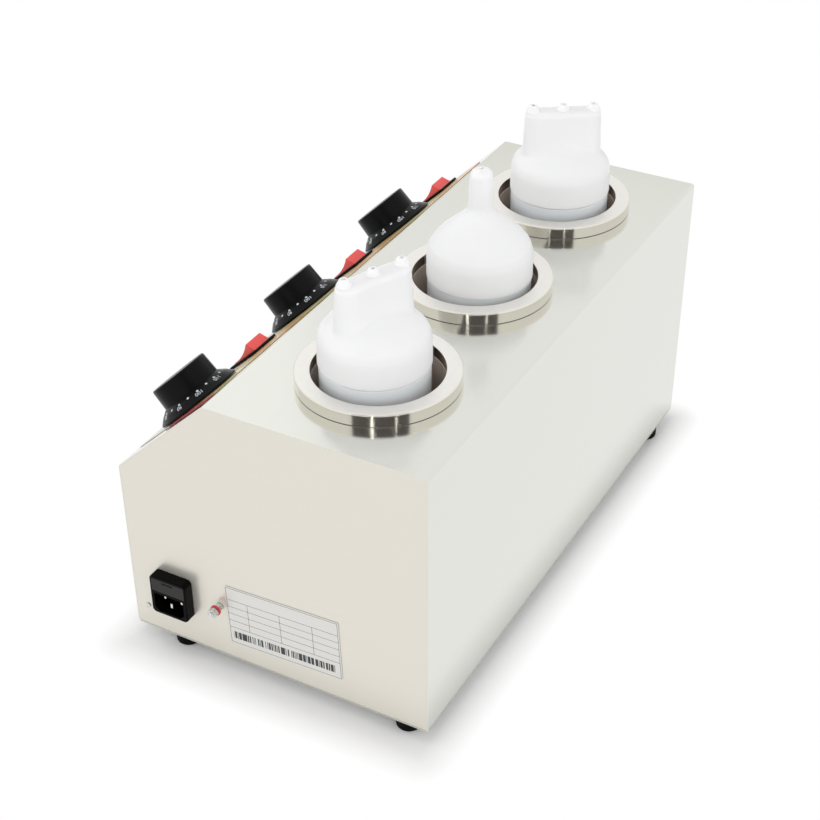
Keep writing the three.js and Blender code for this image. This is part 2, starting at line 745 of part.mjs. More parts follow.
/** Rocker with its two trunnions, drawn level about its pivot and then tilted. */
function rocker() {
  const valley = Array.from({ length: ARC_STEPS + 1 }, (_, k) => {
    const share = (2 * k) / ARC_STEPS - 1;
    const height = ROCKER_PEAK - ROCKER_SAG * (1 - share * share);
    return new THREE.Vector2(-share * ROCKER_PEAK_HALF_LENGTH, height);
  });
  const keel = [
    [-ROCKER_HALF_LENGTH, -ROCKER_KNEE],
    [-ROCKER_KEEL_HALF_LENGTH, -ROCKER_KEEL],
    [ROCKER_KEEL_HALF_LENGTH, -ROCKER_KEEL],
    [ROCKER_HALF_LENGTH, -ROCKER_KNEE],
  ].map(([y, z]) => new THREE.Vector2(y, z));
  const paddle = facingX(prism([...keel, ...valley], -ROCKER_WIDTH / 2, ROCKER_WIDTH / 2));
  const reach = ROCKER_WIDTH / 2 + TRUNNION_REACH;
  const trunnions = rod(TRUNNION_RADIUS, -reach, reach, TINY_FACETS).rotateY(Math.PI / 2);
  return join(paddle, trunnions).rotateX(THREE.MathUtils.degToRad(ROCKER_TILT_DEGREES));
}

/** Socket recess of the inlet: a rectangle whose two lower corners are cut off. */
function socketOutline(growth = 0) {
  const x = SOCKET_WIDTH / 2 + growth;
  const y = SOCKET_HEIGHT / 2 + growth;
  return [
    [-x + SOCKET_CORNER, -y],
    [x - SOCKET_CORNER, -y],
    [x, -y + SOCKET_CORNER],
    [x, y],
    [-x, y],
    [-x, -y + SOCKET_CORNER],
  ].map(([u, v]) => new THREE.Vector2(u, v));
}

/** Places of the three inlet pins about the inlet's middle. */
function pinPlaces() {
  return {
    line: [-PIN_SPACING / 2, PIN_STAGGER - SOCKET_DROP],
    neutral: [PIN_SPACING / 2, PIN_STAGGER - SOCKET_DROP],
    earth: [0, -PIN_STAGGER - SOCKET_DROP],
  };
}

/** Inlet moulding: raised face, body behind the panel, socket recess and drawer slot. */
function inletBody() {
  const face = prism(roundedRectangle(INLET_WIDTH, INLET_HEIGHT, INLET_CORNER), FIT, INLET_REACH);
  const body = block(
    INLET_BODY_WIDTH,
    INLET_BODY_HEIGHT,
    INLET_BODY_DEPTH + 2 * FIT,
    0,
    0,
    FIT - INLET_BODY_DEPTH / 2,
  );
  const floor = INLET_REACH - SOCKET_DEPTH;
  const socket = prism(socketOutline(), floor, INLET_REACH + OVERRUN).translate(0, -SOCKET_DROP, 0);
  const slotZ = floor - INLET_BODY_DEPTH + OVERRUN;
  const slots = Object.values(pinPlaces()).map(([x, y]) =>
    block(PIN_WIDTH + 2 * FIT, PIN_HEIGHT + 2 * FIT, 2 * INLET_BODY_DEPTH, x, y, slotZ),
  );
  const slotDepth = DRAWER_LENGTH + FIT;
  const drawerSlot = block(
    DRAWER_WIDTH + 2 * FIT,
    DRAWER_BODY_HEIGHT + 2 * FIT,
    slotDepth + OVERRUN,
    0,
    DRAWER_RISE,
    INLET_REACH + OVERRUN - (slotDepth + OVERRUN) / 2,
  );
  const rebate = block(
    DRAWER_FACE_WIDTH + 2 * FIT,
    DRAWER_HEIGHT + 2 * FIT,
    2 * DRAWER_FACE,
    0,
    DRAWER_RISE,
    INLET_REACH,
  );
  return cut(join(face, body), socket, drawerSlot, rebate, ...slots);
}

/** One flat inlet pin, through the socket's floor to its tab behind the inlet; earth stands further out. */
function inletPin(lead) {
  const floor = INLET_REACH - SOCKET_DEPTH;
  const tail = -INLET_BODY_DEPTH - TAB_LENGTH;
  const top = floor + PIN_LENGTH + lead;
  return block(PIN_WIDTH, PIN_HEIGHT, top - tail, 0, 0, (top + tail) / 2);
}

/** Fuse drawer: a front plate and an open tray behind it. */
function fuseDrawer() {
  const front = INLET_REACH;
  const back = front - DRAWER_LENGTH;
  const thickness = DRAWER_FACE - FIT;
  const plate = block(DRAWER_FACE_WIDTH, DRAWER_HEIGHT, thickness, 0, 0, front - thickness / 2);
  const tray = block(DRAWER_WIDTH, DRAWER_BODY_HEIGHT, DRAWER_LENGTH, 0, 0, (front + back) / 2);
  const pocketDepth = 2 * (FUSE_RADIUS + FIT);
  const pocket = block(
    FUSE_LENGTH + 2 * FIT,
    DRAWER_BODY_HEIGHT,
    pocketDepth,
    0,
    DRAWER_FLOOR,
    front - FUSE_POCKET_INSET - pocketDepth / 2,
  );
  const spare = block(
    FUSE_LENGTH + 2 * FIT,
    DRAWER_BODY_HEIGHT,
    DRAWER_LENGTH - FUSE_POCKET_INSET - pocketDepth - 2 * DRAWER_WALL,
    0,
    DRAWER_FLOOR,
    (back + front - FUSE_POCKET_INSET - pocketDepth) / 2,
  );
  return cut(join(plate, tray), pocket, spare);
}

/** Cartridge fuse lying across the drawer. */
function fuse() {
  const end = FUSE_LENGTH / 2;
  const glass = end - FUSE_CAP_LENGTH;
  return turned(
    [
      [0, -end],
      [FUSE_RADIUS, -end],
      [FUSE_RADIUS, -glass],
      [FUSE_GLASS_RADIUS, -glass],
      [FUSE_GLASS_RADIUS, glass],
      [FUSE_RADIUS, glass],
      [FUSE_RADIUS, end],
      [0, end],
    ],
    TINY_FACETS,
  ).rotateY(Math.PI / 2);
}

/** A flat ring about +Z from one height to another. */
function ring(inner, outer, bottom, top, facets = SMALL_FACETS) {
  return turned([[inner, bottom], [outer, bottom], [outer, top], [inner, top]], facets);
}

/** Flat sheet fixed to the end panel for the ratings. */
function ratingPlate() {
  const outline = roundedRectangle(PLATE_WIDTH, PLATE_HEIGHT, PLATE_CORNER, SMALL_CORNER_STEPS);
  return prism(outline, GLUE, GLUE + PLATE_THICKNESS).rotateZ(THREE.MathUtils.degToRad(PLATE_TILT_DEGREES));
}

/** Small screw beside the inlet. */
function endScrew() {
  return turned(
    [
      [0, FIT + END_SCREW_HEAD_HEIGHT],
      [END_SCREW_HEAD, FIT + END_SCREW_HEAD_HEIGHT / 2],
      [END_SCREW_HEAD, FIT],
      [END_SCREW_RADIUS, FIT],
      [END_SCREW_RADIUS, -END_SCREW_LENGTH],
      [0, -END_SCREW_LENGTH],
    ],
    TINY_FACETS,
  );
}

/** Squeeze bottle, hollow and open at its neck; the height zero is its underside. */
function bottle(shoulder) {
  const neck = BOTTLE_RADIUS - NECK_STEP;
  const top = shoulder + NECK_HEIGHT;
  const inside = BOTTLE_RADIUS - BOTTLE_WALL;
  return turned(
    [
      [0, 0],
      [BOTTLE_RADIUS - BOTTLE_CORNER, 0],
      [BOTTLE_RADIUS, BOTTLE_CORNER],
      [BOTTLE_RADIUS, shoulder],
      [neck, shoulder],
      [neck, top],
      [neck - BOTTLE_WALL, top],
      [neck - BOTTLE_WALL, shoulder - NECK_STEP],
      [inside, shoulder - 2 * NECK_STEP],
      [inside, BOTTLE_CORNER],
      [inside - BOTTLE_CORNER + BOTTLE_WALL, BOTTLE_WALL],
      [0, BOTTLE_WALL],
    ],
    MEDIUM_FACETS,
  );
}

/** Cap with one tall nozzle on a dome; the height zero is the skirt's lower rim. */
function nozzleCap() {
  const rise = (height) => CAP_SKIRT + height;
  const tip = rise(NOZZLE_TOP_RISE);
  const nose = Array.from({ length: NOSE_STEPS + 1 }, (_, k) => {
    const angle = THREE.MathUtils.degToRad((NOSE_DEGREES * k) / NOSE_STEPS);
    return [NOZZLE_TIP_RADIUS * Math.cos(angle), tip - NOZZLE_ROUNDING * (1 - Math.sin(angle))];
  });
  return turned(
    [
      [CAP_RADIUS, 0],
      [CAP_RADIUS, CAP_SKIRT - CAP_CROWN],
      [DOME_SHOULDER_RADIUS, rise(DOME_SHOULDER_RISE)],
      [DOME_HAUNCH_RADIUS, rise(DOME_HAUNCH_RISE)],
      [DOME_CROWN_RADIUS, rise(DOME_CROWN_RISE)],
      [DOME_THROAT_RADIUS, rise(DOME_THROAT_RISE)],
      [NOZZLE_RADIUS, rise(NOZZLE_BASE_RISE)],
      ...nose,
      [NOZZLE_BORE, nose.at(-1)[1]],
      [NOZZLE_BORE, tip - NOZZLE_ROUNDING],
      [NOZZLE_TIP_RADIUS - CAP_WALL, tip - 2 * NOZZLE_ROUNDING],
      [NOZZLE_RADIUS - CAP_WALL, rise(NOZZLE_BASE_RISE)],
      [DOME_THROAT_RADIUS - CAP_WALL, rise(DOME_THROAT_RISE) - CAP_WALL],
      [DOME_CROWN_RADIUS - CAP_WALL, rise(DOME_CROWN_RISE) - CAP_WALL],
      [DOME_HAUNCH_RADIUS - CAP_WALL, rise(DOME_HAUNCH_RISE) - CAP_WALL],
      [DOME_SHOULDER_RADIUS - CAP_WALL, rise(DOME_SHOULDER_RISE) - CAP_WALL],
      [CAP_BORE, CAP_SKIRT - CAP_CROWN],
      [CAP_BORE, 0],
    ],
    MEDIUM_FACETS,
  );
}

/** Bar with round ends through levels, each a length, a thickness and a height. */
function barThrough(levels) {
  const [length, thickness] = levels[0];
  const outline = roundedRectangle(length, thickness, thickness / 2 - FIT);
  const last = levels.length - 1;
  const settings = { depth: last, steps: last, bevelEnabled: false };
  const bar = new THREE.ExtrudeGeometry(new THREE.Shape(outline), settings);
  const place = bar.getAttribute("position");
  for (let k = 0; k < place.count; k++) {
    const [toLength, toThickness, height] = levels[Math.round(place.getZ(k))];
    place.setXYZ(k, (place.getX(k) * toLength) / length, (place.getY(k) * toThickness) / thickness, height);
  }
  return bar;
}

/** Tapered bar with its upper edge rounded, all of it smaller on each side by a wall. */
function capBar(wall, bottom, top) {
  const bevel = BAR_ROUNDING * (1 - Math.SQRT1_2);
  return barThrough([
    [BAR_LENGTH - 2 * wall, BAR_THICKNESS - 2 * wall, bottom],
    [BAR_TOP_LENGTH - 2 * wall, BAR_TOP_THICKNESS - 2 * wall, top - BAR_ROUNDING],
    [BAR_TOP_LENGTH - 2 * (wall + bevel), BAR_TOP_THICKNESS - 2 * (wall + bevel), top - bevel],
    [BAR_TOP_LENGTH - 2 * (wall + BAR_ROUNDING), BAR_TOP_THICKNESS - 2 * (wall + BAR_ROUNDING), top],
  ]);
}

/** Cap whose flat bar, turned by an angle, carries a row of three short teats. */
function barCap(turn) {
  const rise = (height) => CAP_SKIRT + height;
  const dome = (wall, skirt, bottom) =>
    turned(
      [
        [0, bottom],
        [skirt, bottom],
        [skirt, CAP_SKIRT - CAP_CROWN],
        [DOME_SHOULDER_RADIUS - wall, rise(DOME_SHOULDER_RISE) - wall],
        [BAR_DOME_RADIUS - wall, rise(BAR_DOME_RISE) - wall],
        [BAR_CROWN_RADIUS, rise(BAR_CROWN_RISE) - wall],
        [0, rise(BAR_CROWN_RISE) - wall],
      ],
      MEDIUM_FACETS,
    );
  const top = rise(BAR_TOP_RISE);
  const root = top - BAR_ROUNDING;
  const tip = top + TEAT_HEIGHT;
  const profile = [[0, root], [TEAT_RADIUS, root], [TEAT_RADIUS, top], [TEAT_TIP_RADIUS, tip], [0, tip]];
  const places = [-TEAT_SPACING, 0, TEAT_SPACING];
  const teats = places.map((x) => turned(profile, TINY_FACETS).translate(x, 0, 0).rotateZ(turn));
  const bores = places.map((x) =>
    rod(NOZZLE_BORE, root - CAP_WALL, tip + OVERRUN, TINY_FACETS).translate(x, 0, 0).rotateZ(turn),
  );
  const outerBar = capBar(0, rise(BAR_BASE_RISE), top).rotateZ(turn);
  const innerBar = capBar(CAP_WALL, rise(BAR_BASE_RISE) - CAP_WALL, top - CAP_WALL).rotateZ(turn);
  const outer = join(dome(0, CAP_RADIUS, 0), outerBar, ...teats);
  const inner = join(dome(CAP_WALL, CAP_BORE, -OVERRUN), innerBar);
  return cut(outer, inner, ...bores);
}

/** Bonding stud with its own thread length behind the panel. */
function bondingStud() {
  return rod(STUD_RADIUS, -POST_TAIL, POST_REACH, TINY_FACETS);
}

/** Terminal block on the base plate, with grooves between its ways. */
function terminalBlock() {
  const body = block(BLOCK_LENGTH, BLOCK_WIDTH, BLOCK_HEIGHT, 0, 0, BLOCK_HEIGHT / 2);
  const pitch = BLOCK_LENGTH / (BLOCK_GROOVES + 1);
  const middle = (BLOCK_GROOVES - 1) / 2;
  const grooves = [...Array(BLOCK_GROOVES).keys()].map((k) =>
    block(BLOCK_GROOVE, BLOCK_WIDTH + OVERRUN, BLOCK_GROOVE * 2, (k - middle) * pitch, 0, BLOCK_HEIGHT),
  );
  return cut(body, ...grooves);
}

/** A point given on the control face, in the casing's own directions. */
function slopePoint(x, up, out) {
  const point = new THREE.Vector3(x, up, out).applyAxisAngle(new THREE.Vector3(1, 0, 0), SLOPE_ANGLE);
  return [point.x, point.y - HALF_DEPTH, point.z + FRONT_HEIGHT];
}

/** Sensor bulb in the heater band's gap, and its capillary up to the thermostat. */
function thermostatSensor(index) {
  const x = wellX(index);
  const y = WELL_Y - CUP_RADIUS - FIT - SENSOR_RADIUS;
  const top = BAND_BASE + SENSOR_LENGTH;
  const behind = -SHEET - 2 * FIT - THERMOSTAT_DEPTH;
  const bulb = rod(SENSOR_RADIUS, BAND_BASE, top, TINY_FACETS).translate(x, y, 0);
  const route = [
    [x, y, top - SENSOR_RADIUS],
    [x, y, top + SENSOR_RADIUS],
    [x, y - CAPILLARY_LEAD, top + CAPILLARY_LEAD],
    slopePoint(x + DIAL_OFFSET, CONTROL_RISE, behind - CAPILLARY_LEAD),
    slopePoint(x + DIAL_OFFSET, CONTROL_RISE, behind),
  ];
  return join(bulb, wire(route, CAPILLARY_RADIUS, LEAD_SIDES, CAPILLARY_STEPS));
}

/** Bundle of leads from the terminal block, with a branch to each switch, thermostat and heater. */
function wiringLoom() {
  const z = SHEET + FIT + LOOM_RISE;
  const start = HALF_LENGTH - BLOCK_END_INSET - BLOCK_LENGTH / 2 - FIT;
  const end = wellX(WELL_COUNT - 1) + SWITCH_OFFSET - LOOM_RADIUS;
  const trunk = rod(LOOM_RADIUS, end, start, LEAD_SIDES).rotateY(Math.PI / 2).translate(0, LOOM_Y, z);
  const blades = SWITCH_SEAT - SWITCH_DEPTH - BLADE_LENGTH - FIT;
  const bladeY = CONTROL_RISE + BLADE_SPACING / 2;
  const behind = -SHEET - 2 * FIT - THERMOSTAT_DEPTH;
  const lugY = WELL_Y - CUP_RADIUS - LUG_REACH;
  const branches = WELL_INDEXES.flatMap((index) => {
    const x = wellX(index);
    const switchX = x + SWITCH_OFFSET;
    const bladeX = switchX + BODY_WIDTH / 4;
    const bodyX = x + DIAL_OFFSET - THERMOSTAT_WIDTH / 3;
    const lugX = x - BAND_GAP / 2 - BAND_THICKNESS - 2 * FIT - LEAD_RADIUS;
    const leave = [[switchX, LOOM_Y, z], [switchX, LOOM_Y, z + TAIL_RISE]];
    const toSwitch = [slopePoint(bladeX, bladeY, blades - TAIL_RISE / 2), slopePoint(bladeX, bladeY, blades)];
    const toThermostat = [
      slopePoint(bodyX, CONTROL_RISE, behind - TAIL_RISE / 2),
      slopePoint(bodyX, CONTROL_RISE, behind),
    ];
    const toHeater = [[lugX, lugY, BAND_BASE], [lugX, lugY, BAND_BASE + TAIL_RISE]];
    return [toSwitch, toThermostat, toHeater].map((tail) =>
      wire([...leave, ...tail], LEAD_RADIUS, LEAD_SIDES, LEAD_STEPS),
    );
  });
  return join(trunk, ...branches);
}

/** One named piece with its own material, placed in its group. */
function place(group, name, geometry, [color, roughness, metalness], x = 0, y = 0, z = 0) {
  const mesh = new THREE.Mesh(geometry, new THREE.MeshStandardMaterial({ color, roughness, metalness }));
  mesh.name = name;
  mesh.position.set(x, y, z);
  group.add(mesh);
}

const STEEL_FINISH = [PALE_STEEL, SATIN, METAL];
const POLISHED_FINISH = [POLISHED_STEEL, GLOSSY, METAL];
const ZINC_FINISH = [ZINC, SATIN, METAL];
const RUBBER_FINISH = [BLACK, MATT, NOT_METAL];
const BLACK_FINISH = [BLACK, GLOSSY, NOT_METAL];
const GREY_FINISH = [DARK_GREY, SATIN, NOT_METAL];
const RED_FINISH = [RED, GLOSSY, NOT_METAL];
const LABEL_FINISH = [KHAKI, SATIN, NOT_METAL];
const MICA_FINISH = [MICA, MATT, NOT_METAL];
const WHITE_FINISH = [WHITE, SATIN, NOT_METAL];
const BOTTLE_FINISH = [CLOUDY, SATIN, NOT_METAL];
const GLASS_FINISH = [GLASS, GLOSSY, NOT_METAL];

// The casing's underside is at height zero of this group, and its feet stand on the ground
const warmer = new THREE.Group();
const casing = new THREE.Group();
casing.position.set(-POST_REACH / 2, 0, FOOT_HEIGHT);
warmer.add(casing);

place(casing, "casing_shell", casingShell(), STEEL_FINISH);
place(casing, "end_panel_inlet", endPanel(1, ...inletPanelHoles()), STEEL_FINISH);
place(casing, "end_panel_far", endPanel(-1), STEEL_FINISH);
place(casing, "base_plate", basePlate(), STEEL_FINISH);

footPlaces().forEach(([x, y], k) => {
  place(casing, `foot_${k + 1}`, foot(), RUBBER_FINISH, x, y);
  place(casing, `foot_screw_${k + 1}`, footScrew(), ZINC_FINISH, x, y);
});

// Control face: +Y runs up the slope and +Z out of it
const slope = new THREE.Group();
slope.position.set(0, -HALF_DEPTH, FRONT_HEIGHT);
slope.rotation.x = SLOPE_ANGLE;
casing.add(slope);
place(slope, "control_label", controlLabel(), LABEL_FINISH);

for (const index of WELL_INDEXES) {
  const number = index + 1;
  const x = wellX(index);
  place(casing, `well_cup_${number}`, wellCup(), STEEL_FINISH, x, WELL_Y, CASING_HEIGHT);
  place(casing, `collar_ring_${number}`, collarRing(), POLISHED_FINISH, x, WELL_Y, CASING_HEIGHT);
  place(casing, `heater_band_${number}`, heaterBand(), MICA_FINISH, x, WELL_Y, BAND_BASE);
  place(casing, `thermostat_sensor_${number}`, thermostatSensor(index), ZINC_FINISH);

  const dialX = x + DIAL_OFFSET;
  place(slope, `thermostat_${number}`, thermostat(), GREY_FINISH, dialX, CONTROL_RISE);
  place(slope, `thermostat_shaft_${number}`, thermostatShaft(), ZINC_FINISH, dialX, CONTROL_RISE);
  place(slope, `dial_${number}`, dial(), BLACK_FINISH, dialX, CONTROL_RISE);

  const switchX = x + SWITCH_OFFSET;
  place(slope, `switch_housing_${number}`, switchHousing(), BLACK_FINISH, switchX, CONTROL_RISE);
  place(slope, `rocker_${number}`, rocker(), RED_FINISH, switchX, CONTROL_RISE, -ROCKER_PIVOT_DROP);

  const { shoulder, cap, turnDegrees, shiftShares } = BOTTLES[index];
  const bottleX = x + BOTTLE_PLAY * shiftShares[0];
  const bottleY = WELL_Y + BOTTLE_PLAY * shiftShares[1];
  const bottom = CASING_HEIGHT - WELL_DEPTH + FIT;
  const capGeometry = cap === "bar" ? barCap(THREE.MathUtils.degToRad(turnDegrees)) : nozzleCap();
  place(casing, `bottle_${number}`, bottle(shoulder), BOTTLE_FINISH, bottleX, bottleY, bottom);
  place(casing, `cap_${number}`, capGeometry, WHITE_FINISH, bottleX, bottleY, bottom + shoulder + FIT);
}

// Inlet end: +X runs to the back, +Y up and +Z out of the panel
const inletEnd = new THREE.Group();
inletEnd.position.set(HALF_LENGTH, 0, 0);
inletEnd.quaternion.setFromRotationMatrix(ACROSS);
casing.add(inletEnd);

place(inletEnd, "inlet_body", inletBody(), BLACK_FINISH, INLET_Y, INLET_RISE);
for (const [name, [x, y]] of Object.entries(pinPlaces())) {
  const lead = name === "earth" ? EARTH_LEAD : 0;
  place(inletEnd, `inlet_pin_${name}`, inletPin(lead), ZINC_FINISH, INLET_Y + x, INLET_RISE + y);
}
const drawerY = INLET_RISE + DRAWER_RISE;
place(inletEnd, "fuse_drawer", fuseDrawer(), GREY_FINISH, INLET_Y, drawerY);
const fuseDepth = INLET_REACH - FUSE_POCKET_INSET - FUSE_RADIUS - FIT;
place(inletEnd, "fuse", fuse(), GLASS_FINISH, INLET_Y, drawerY + DRAWER_FLOOR, fuseDepth);

const ringBase = FIT + LOCK_NUT_LENGTH + FIT;
const nutBase = ringBase + RING_THICKNESS + FIT;
const studHole = STUD_RADIUS + FIT;
const lockNut = ring(studHole, LOCK_NUT_RADIUS, FIT, FIT + LOCK_NUT_LENGTH, LOCK_NUT_FACETS);
const bondingPieces = {
  bonding_stud: [bondingStud(), ZINC_FINISH],
  bonding_lock_nut: [lockNut, ZINC_FINISH],
  bonding_ring: [ring(studHole, RING_RADIUS, ringBase, ringBase + RING_THICKNESS), RED_FINISH],
  bonding_nut: [ring(studHole, NUT_RADIUS, nutBase, nutBase + NUT_LENGTH), ZINC_FINISH],
};
for (const [name, [geometry, finish]] of Object.entries(bondingPieces)) {
  place(inletEnd, name, geometry, finish, POST_Y, POST_RISE);
}
place(inletEnd, "rating_plate", ratingPlate(), ZINC_FINISH, PLATE_Y, PLATE_RISE);
place(inletEnd, "end_screw", endScrew(), ZINC_FINISH, END_SCREW_Y, END_SCREW_RISE);

const blockX = HALF_LENGTH - BLOCK_END_INSET;
place(casing, "terminal_block", terminalBlock(), WHITE_FINISH, blockX, LOOM_Y, SHEET + FIT);
place(casing, "wiring_loom", wiringLoom(), RUBBER_FINISH);

export default warmer;
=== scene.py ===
"""Looks of a counter-top topping warmer with three bottle wells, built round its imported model.

Sizes are real ones in millimetres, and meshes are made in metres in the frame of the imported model:
+Z up, +X towards the mains inlet and -Y towards the sloped control face.
"""
import cmath
import json
import logging
import math
from collections.abc import Callable, Iterable, Sequence
from dataclasses import dataclass, field
from enum import Enum
from typing import Any

import bmesh
import bpy
from mathutils import Matrix, Vector


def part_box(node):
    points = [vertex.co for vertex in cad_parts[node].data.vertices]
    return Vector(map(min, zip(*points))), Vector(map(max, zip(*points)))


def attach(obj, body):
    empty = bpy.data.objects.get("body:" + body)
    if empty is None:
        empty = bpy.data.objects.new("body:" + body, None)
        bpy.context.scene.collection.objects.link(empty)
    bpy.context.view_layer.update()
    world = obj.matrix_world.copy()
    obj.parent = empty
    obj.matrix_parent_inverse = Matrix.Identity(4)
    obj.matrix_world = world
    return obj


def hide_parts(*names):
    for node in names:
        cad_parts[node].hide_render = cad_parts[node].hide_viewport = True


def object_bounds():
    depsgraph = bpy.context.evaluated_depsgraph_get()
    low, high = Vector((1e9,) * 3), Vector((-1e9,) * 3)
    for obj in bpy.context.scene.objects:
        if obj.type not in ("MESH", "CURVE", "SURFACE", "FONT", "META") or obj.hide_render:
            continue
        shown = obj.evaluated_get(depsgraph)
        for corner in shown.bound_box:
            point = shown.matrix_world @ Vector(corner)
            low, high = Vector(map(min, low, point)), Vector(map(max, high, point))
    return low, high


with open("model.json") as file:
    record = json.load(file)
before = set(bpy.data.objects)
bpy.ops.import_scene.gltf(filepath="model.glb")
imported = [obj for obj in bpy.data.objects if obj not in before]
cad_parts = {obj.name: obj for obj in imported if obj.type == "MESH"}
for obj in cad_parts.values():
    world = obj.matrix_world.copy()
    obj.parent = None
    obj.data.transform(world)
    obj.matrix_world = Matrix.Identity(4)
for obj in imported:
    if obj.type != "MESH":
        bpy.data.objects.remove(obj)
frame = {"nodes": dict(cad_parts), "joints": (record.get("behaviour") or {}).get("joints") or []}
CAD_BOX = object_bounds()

log = logging.getLogger("topping_warmer")

MM = 0.001
WELL_NUMBERS = (1, 2, 3)
FOOT_NUMBERS = (1, 2, 3, 4)
PIN_NAMES = ("line", "neutral", "earth")
ROUND_STEPS = 96
SMALL_ROUND_STEPS = 40
TINY_ROUND_STEPS = 20
CORNER_STEPS = 6
EDGE_STEPS = 3
WELD_MM = 1e-5
SLIVER_MM = 0.004
OVERRUN = 3.0
CREASE = 30.0
ROUND_PROFILE = 0.5
WORN_EDGE_STEPS = 2
# Turns in degrees, then a quarter turn in radians
FULL_TURN, RIGHT_ANGLE = 360, 90
QUARTER_TURN = math.pi / 2
# The sRGB curve and the highest value of a channel's byte
SRGB_KNEE, SRGB_SLOPE, SRGB_OFFSET, SRGB_POWER = 0.04045, 12.92, 0.055, 2.4
BYTE_TOP = 255
# The mix node's sockets for colours
MIX_SHARE, MIX_FIRST, MIX_SECOND, MIX_RESULT = 0, 6, 7, 2

Outline = list[complex]
Pair = tuple[float, float]
Triple = tuple[float, float, float]
Shape = bmesh.types.BMesh
Piece = bpy.types.Object
Tree = bpy.types.NodeTree
Socket = bpy.types.NodeSocket


# Shapes


def unit(value: complex) -> complex:
    """A direction of length one."""
    return value / abs(value)


def quarter_arc(steps: int = CORNER_STEPS) -> list[float]:
    """Angles from zero to a quarter turn, in even steps."""
    return [QUARTER_TURN * k / steps for k in range(steps + 1)]


def fillet(before: complex, corner: complex, after: complex, radius: float, steps: int) -> Outline:
    """Rounds one corner of an outline.

    Args:
        before: The point before the corner.
        corner: The corner itself.
        after: The point after the corner.
        radius: Radius of the rounding in millimetres.
        steps: How many stretches the arc has.

    Returns:
        The points of the arc that takes the corner's place.
    """
    back, ahead = unit(before - corner), unit(after - corner)
    half = abs(cmath.phase(ahead / back)) / 2
    centre = corner + unit(back + ahead) * radius / math.sin(half)
    start, end = (corner + side * radius / math.tan(half) - centre for side in (back, ahead))
    sweep = cmath.phase(end / start)
    return [centre + start * cmath.rect(1, sweep * k / steps) for k in range(steps + 1)]


def rounded(corners: Sequence[Triple], closed: bool = True, steps: int = CORNER_STEPS) -> Outline:
    """Rounds the corners of an outline.

    Args:
        corners: Each corner's x, y and radius.
        closed: Whether the last corner meets the first.
        steps: How many stretches each arc has.

    Returns:
        The outline's points.
    """
    points = [complex(x, y) for x, y, _ in corners]
    made: Outline = []
    for k, (_, _, radius) in enumerate(corners):
        if radius > 0 and (closed or 0 < k < len(corners) - 1):
            made += fillet(points[k - 1], points[k], points[(k + 1) % len(points)], radius, steps)
        else:
            made.append(points[k])
    return made


def rectangle(width: float, height: float, radius: float, steps: int = CORNER_STEPS) -> Outline:
    """An anticlockwise rectangle about the origin, with round corners."""
    x, y = width / 2, height / 2
    return rounded([(-x, -y, radius), (x, -y, radius), (x, y, radius), (-x, y, radius)], steps=steps)


def arc_profile(centre: complex, radius: float, start: float, end: float, steps: int) -> Outline:
    """Points of an arc between two angles in degrees."""
    angles = [math.radians(start + (end - start) * k / steps) for k in range(steps + 1)]
    return [centre + cmath.rect(radius, angle) for angle in angles]


def circle(radius: float, steps: int, x: float = 0.0) -> Outline:
    """Points of a circle about a place on the X axis."""
    return arc_profile(complex(x), radius, 0, FULL_TURN, steps)[:-1]


def inset(outline: Outline, distance: float) -> Outline:
    """Moves an outline inward.

    Args:
        outline: The outline, anticlockwise.
        distance: How far each side moves.

    Returns:
        The smaller outline.
    """
    if distance == 0:
        return outline
    made = []
    for k, corner in enumerate(outline):
        back, ahead = unit(outline[k - 1] - corner), unit(outline[(k + 1) % len(outline)] - corner)
        half = abs(cmath.phase(ahead / back)) / 2
        made.append(corner + 1j * unit(ahead - back) * distance / math.sin(half))
    return made


def level(outline: Outline, height: float) -> list[Vector]:
    """The outline's points at one height."""
    return [Vector((point.real, point.imag, height)) for point in outline]


def across(outline: Outline, x: float) -> list[Vector]:
    """The outline's points as depth and height, at one place along X."""
    return [Vector((x, point.real, point.imag)) for point in outline]


def loft(rings: Sequence[Iterable[Vector]], closed: bool = False) -> Shape:
    """Joins rings of as many points each into a closed shape.

    Args:
        rings: The rings, in order.
        closed: Whether the last ring joins the first; otherwise both are capped.

    Returns:
        The shape, its faces turned out.
    """
    shape = bmesh.new()
    rows = [[shape.verts.new(point) for point in ring] for ring in rings]
    pairs = list(zip(rows, rows[1:])) + ([(rows[-1], rows[0])] if closed else [])
    for low, high in pairs:
        for k, corner in enumerate(low):
            following = (k + 1) % len(low)
            shape.faces.new((corner, low[following], high[following], high[k]))
    if not closed:
        shape.faces.new(rows[0])
        shape.faces.new(rows[-1])
    bmesh.ops.remove_doubles(shape, verts=shape.verts, dist=WELD_MM)
    bmesh.ops.recalc_face_normals(shape, faces=shape.faces)
    return shape


def lathe(profile: Sequence[complex], steps: int = ROUND_STEPS) -> Shape:
    """Turns a profile about +Z.

    Args:
        profile: Points of radius and height; its ends lie on the axis, or else it closes on itself.
        steps: How many flat faces a full turn has.

    Returns:
        The turned shape.
    """
    turns = [cmath.rect(1, 2 * math.pi * k / steps) for k in range(steps)]
    rings = [[Vector((p.real * t.real, p.real * t.imag, p.imag)) for t in turns] for p in profile]
    return loft(rings, closed=profile[0].real > 0)


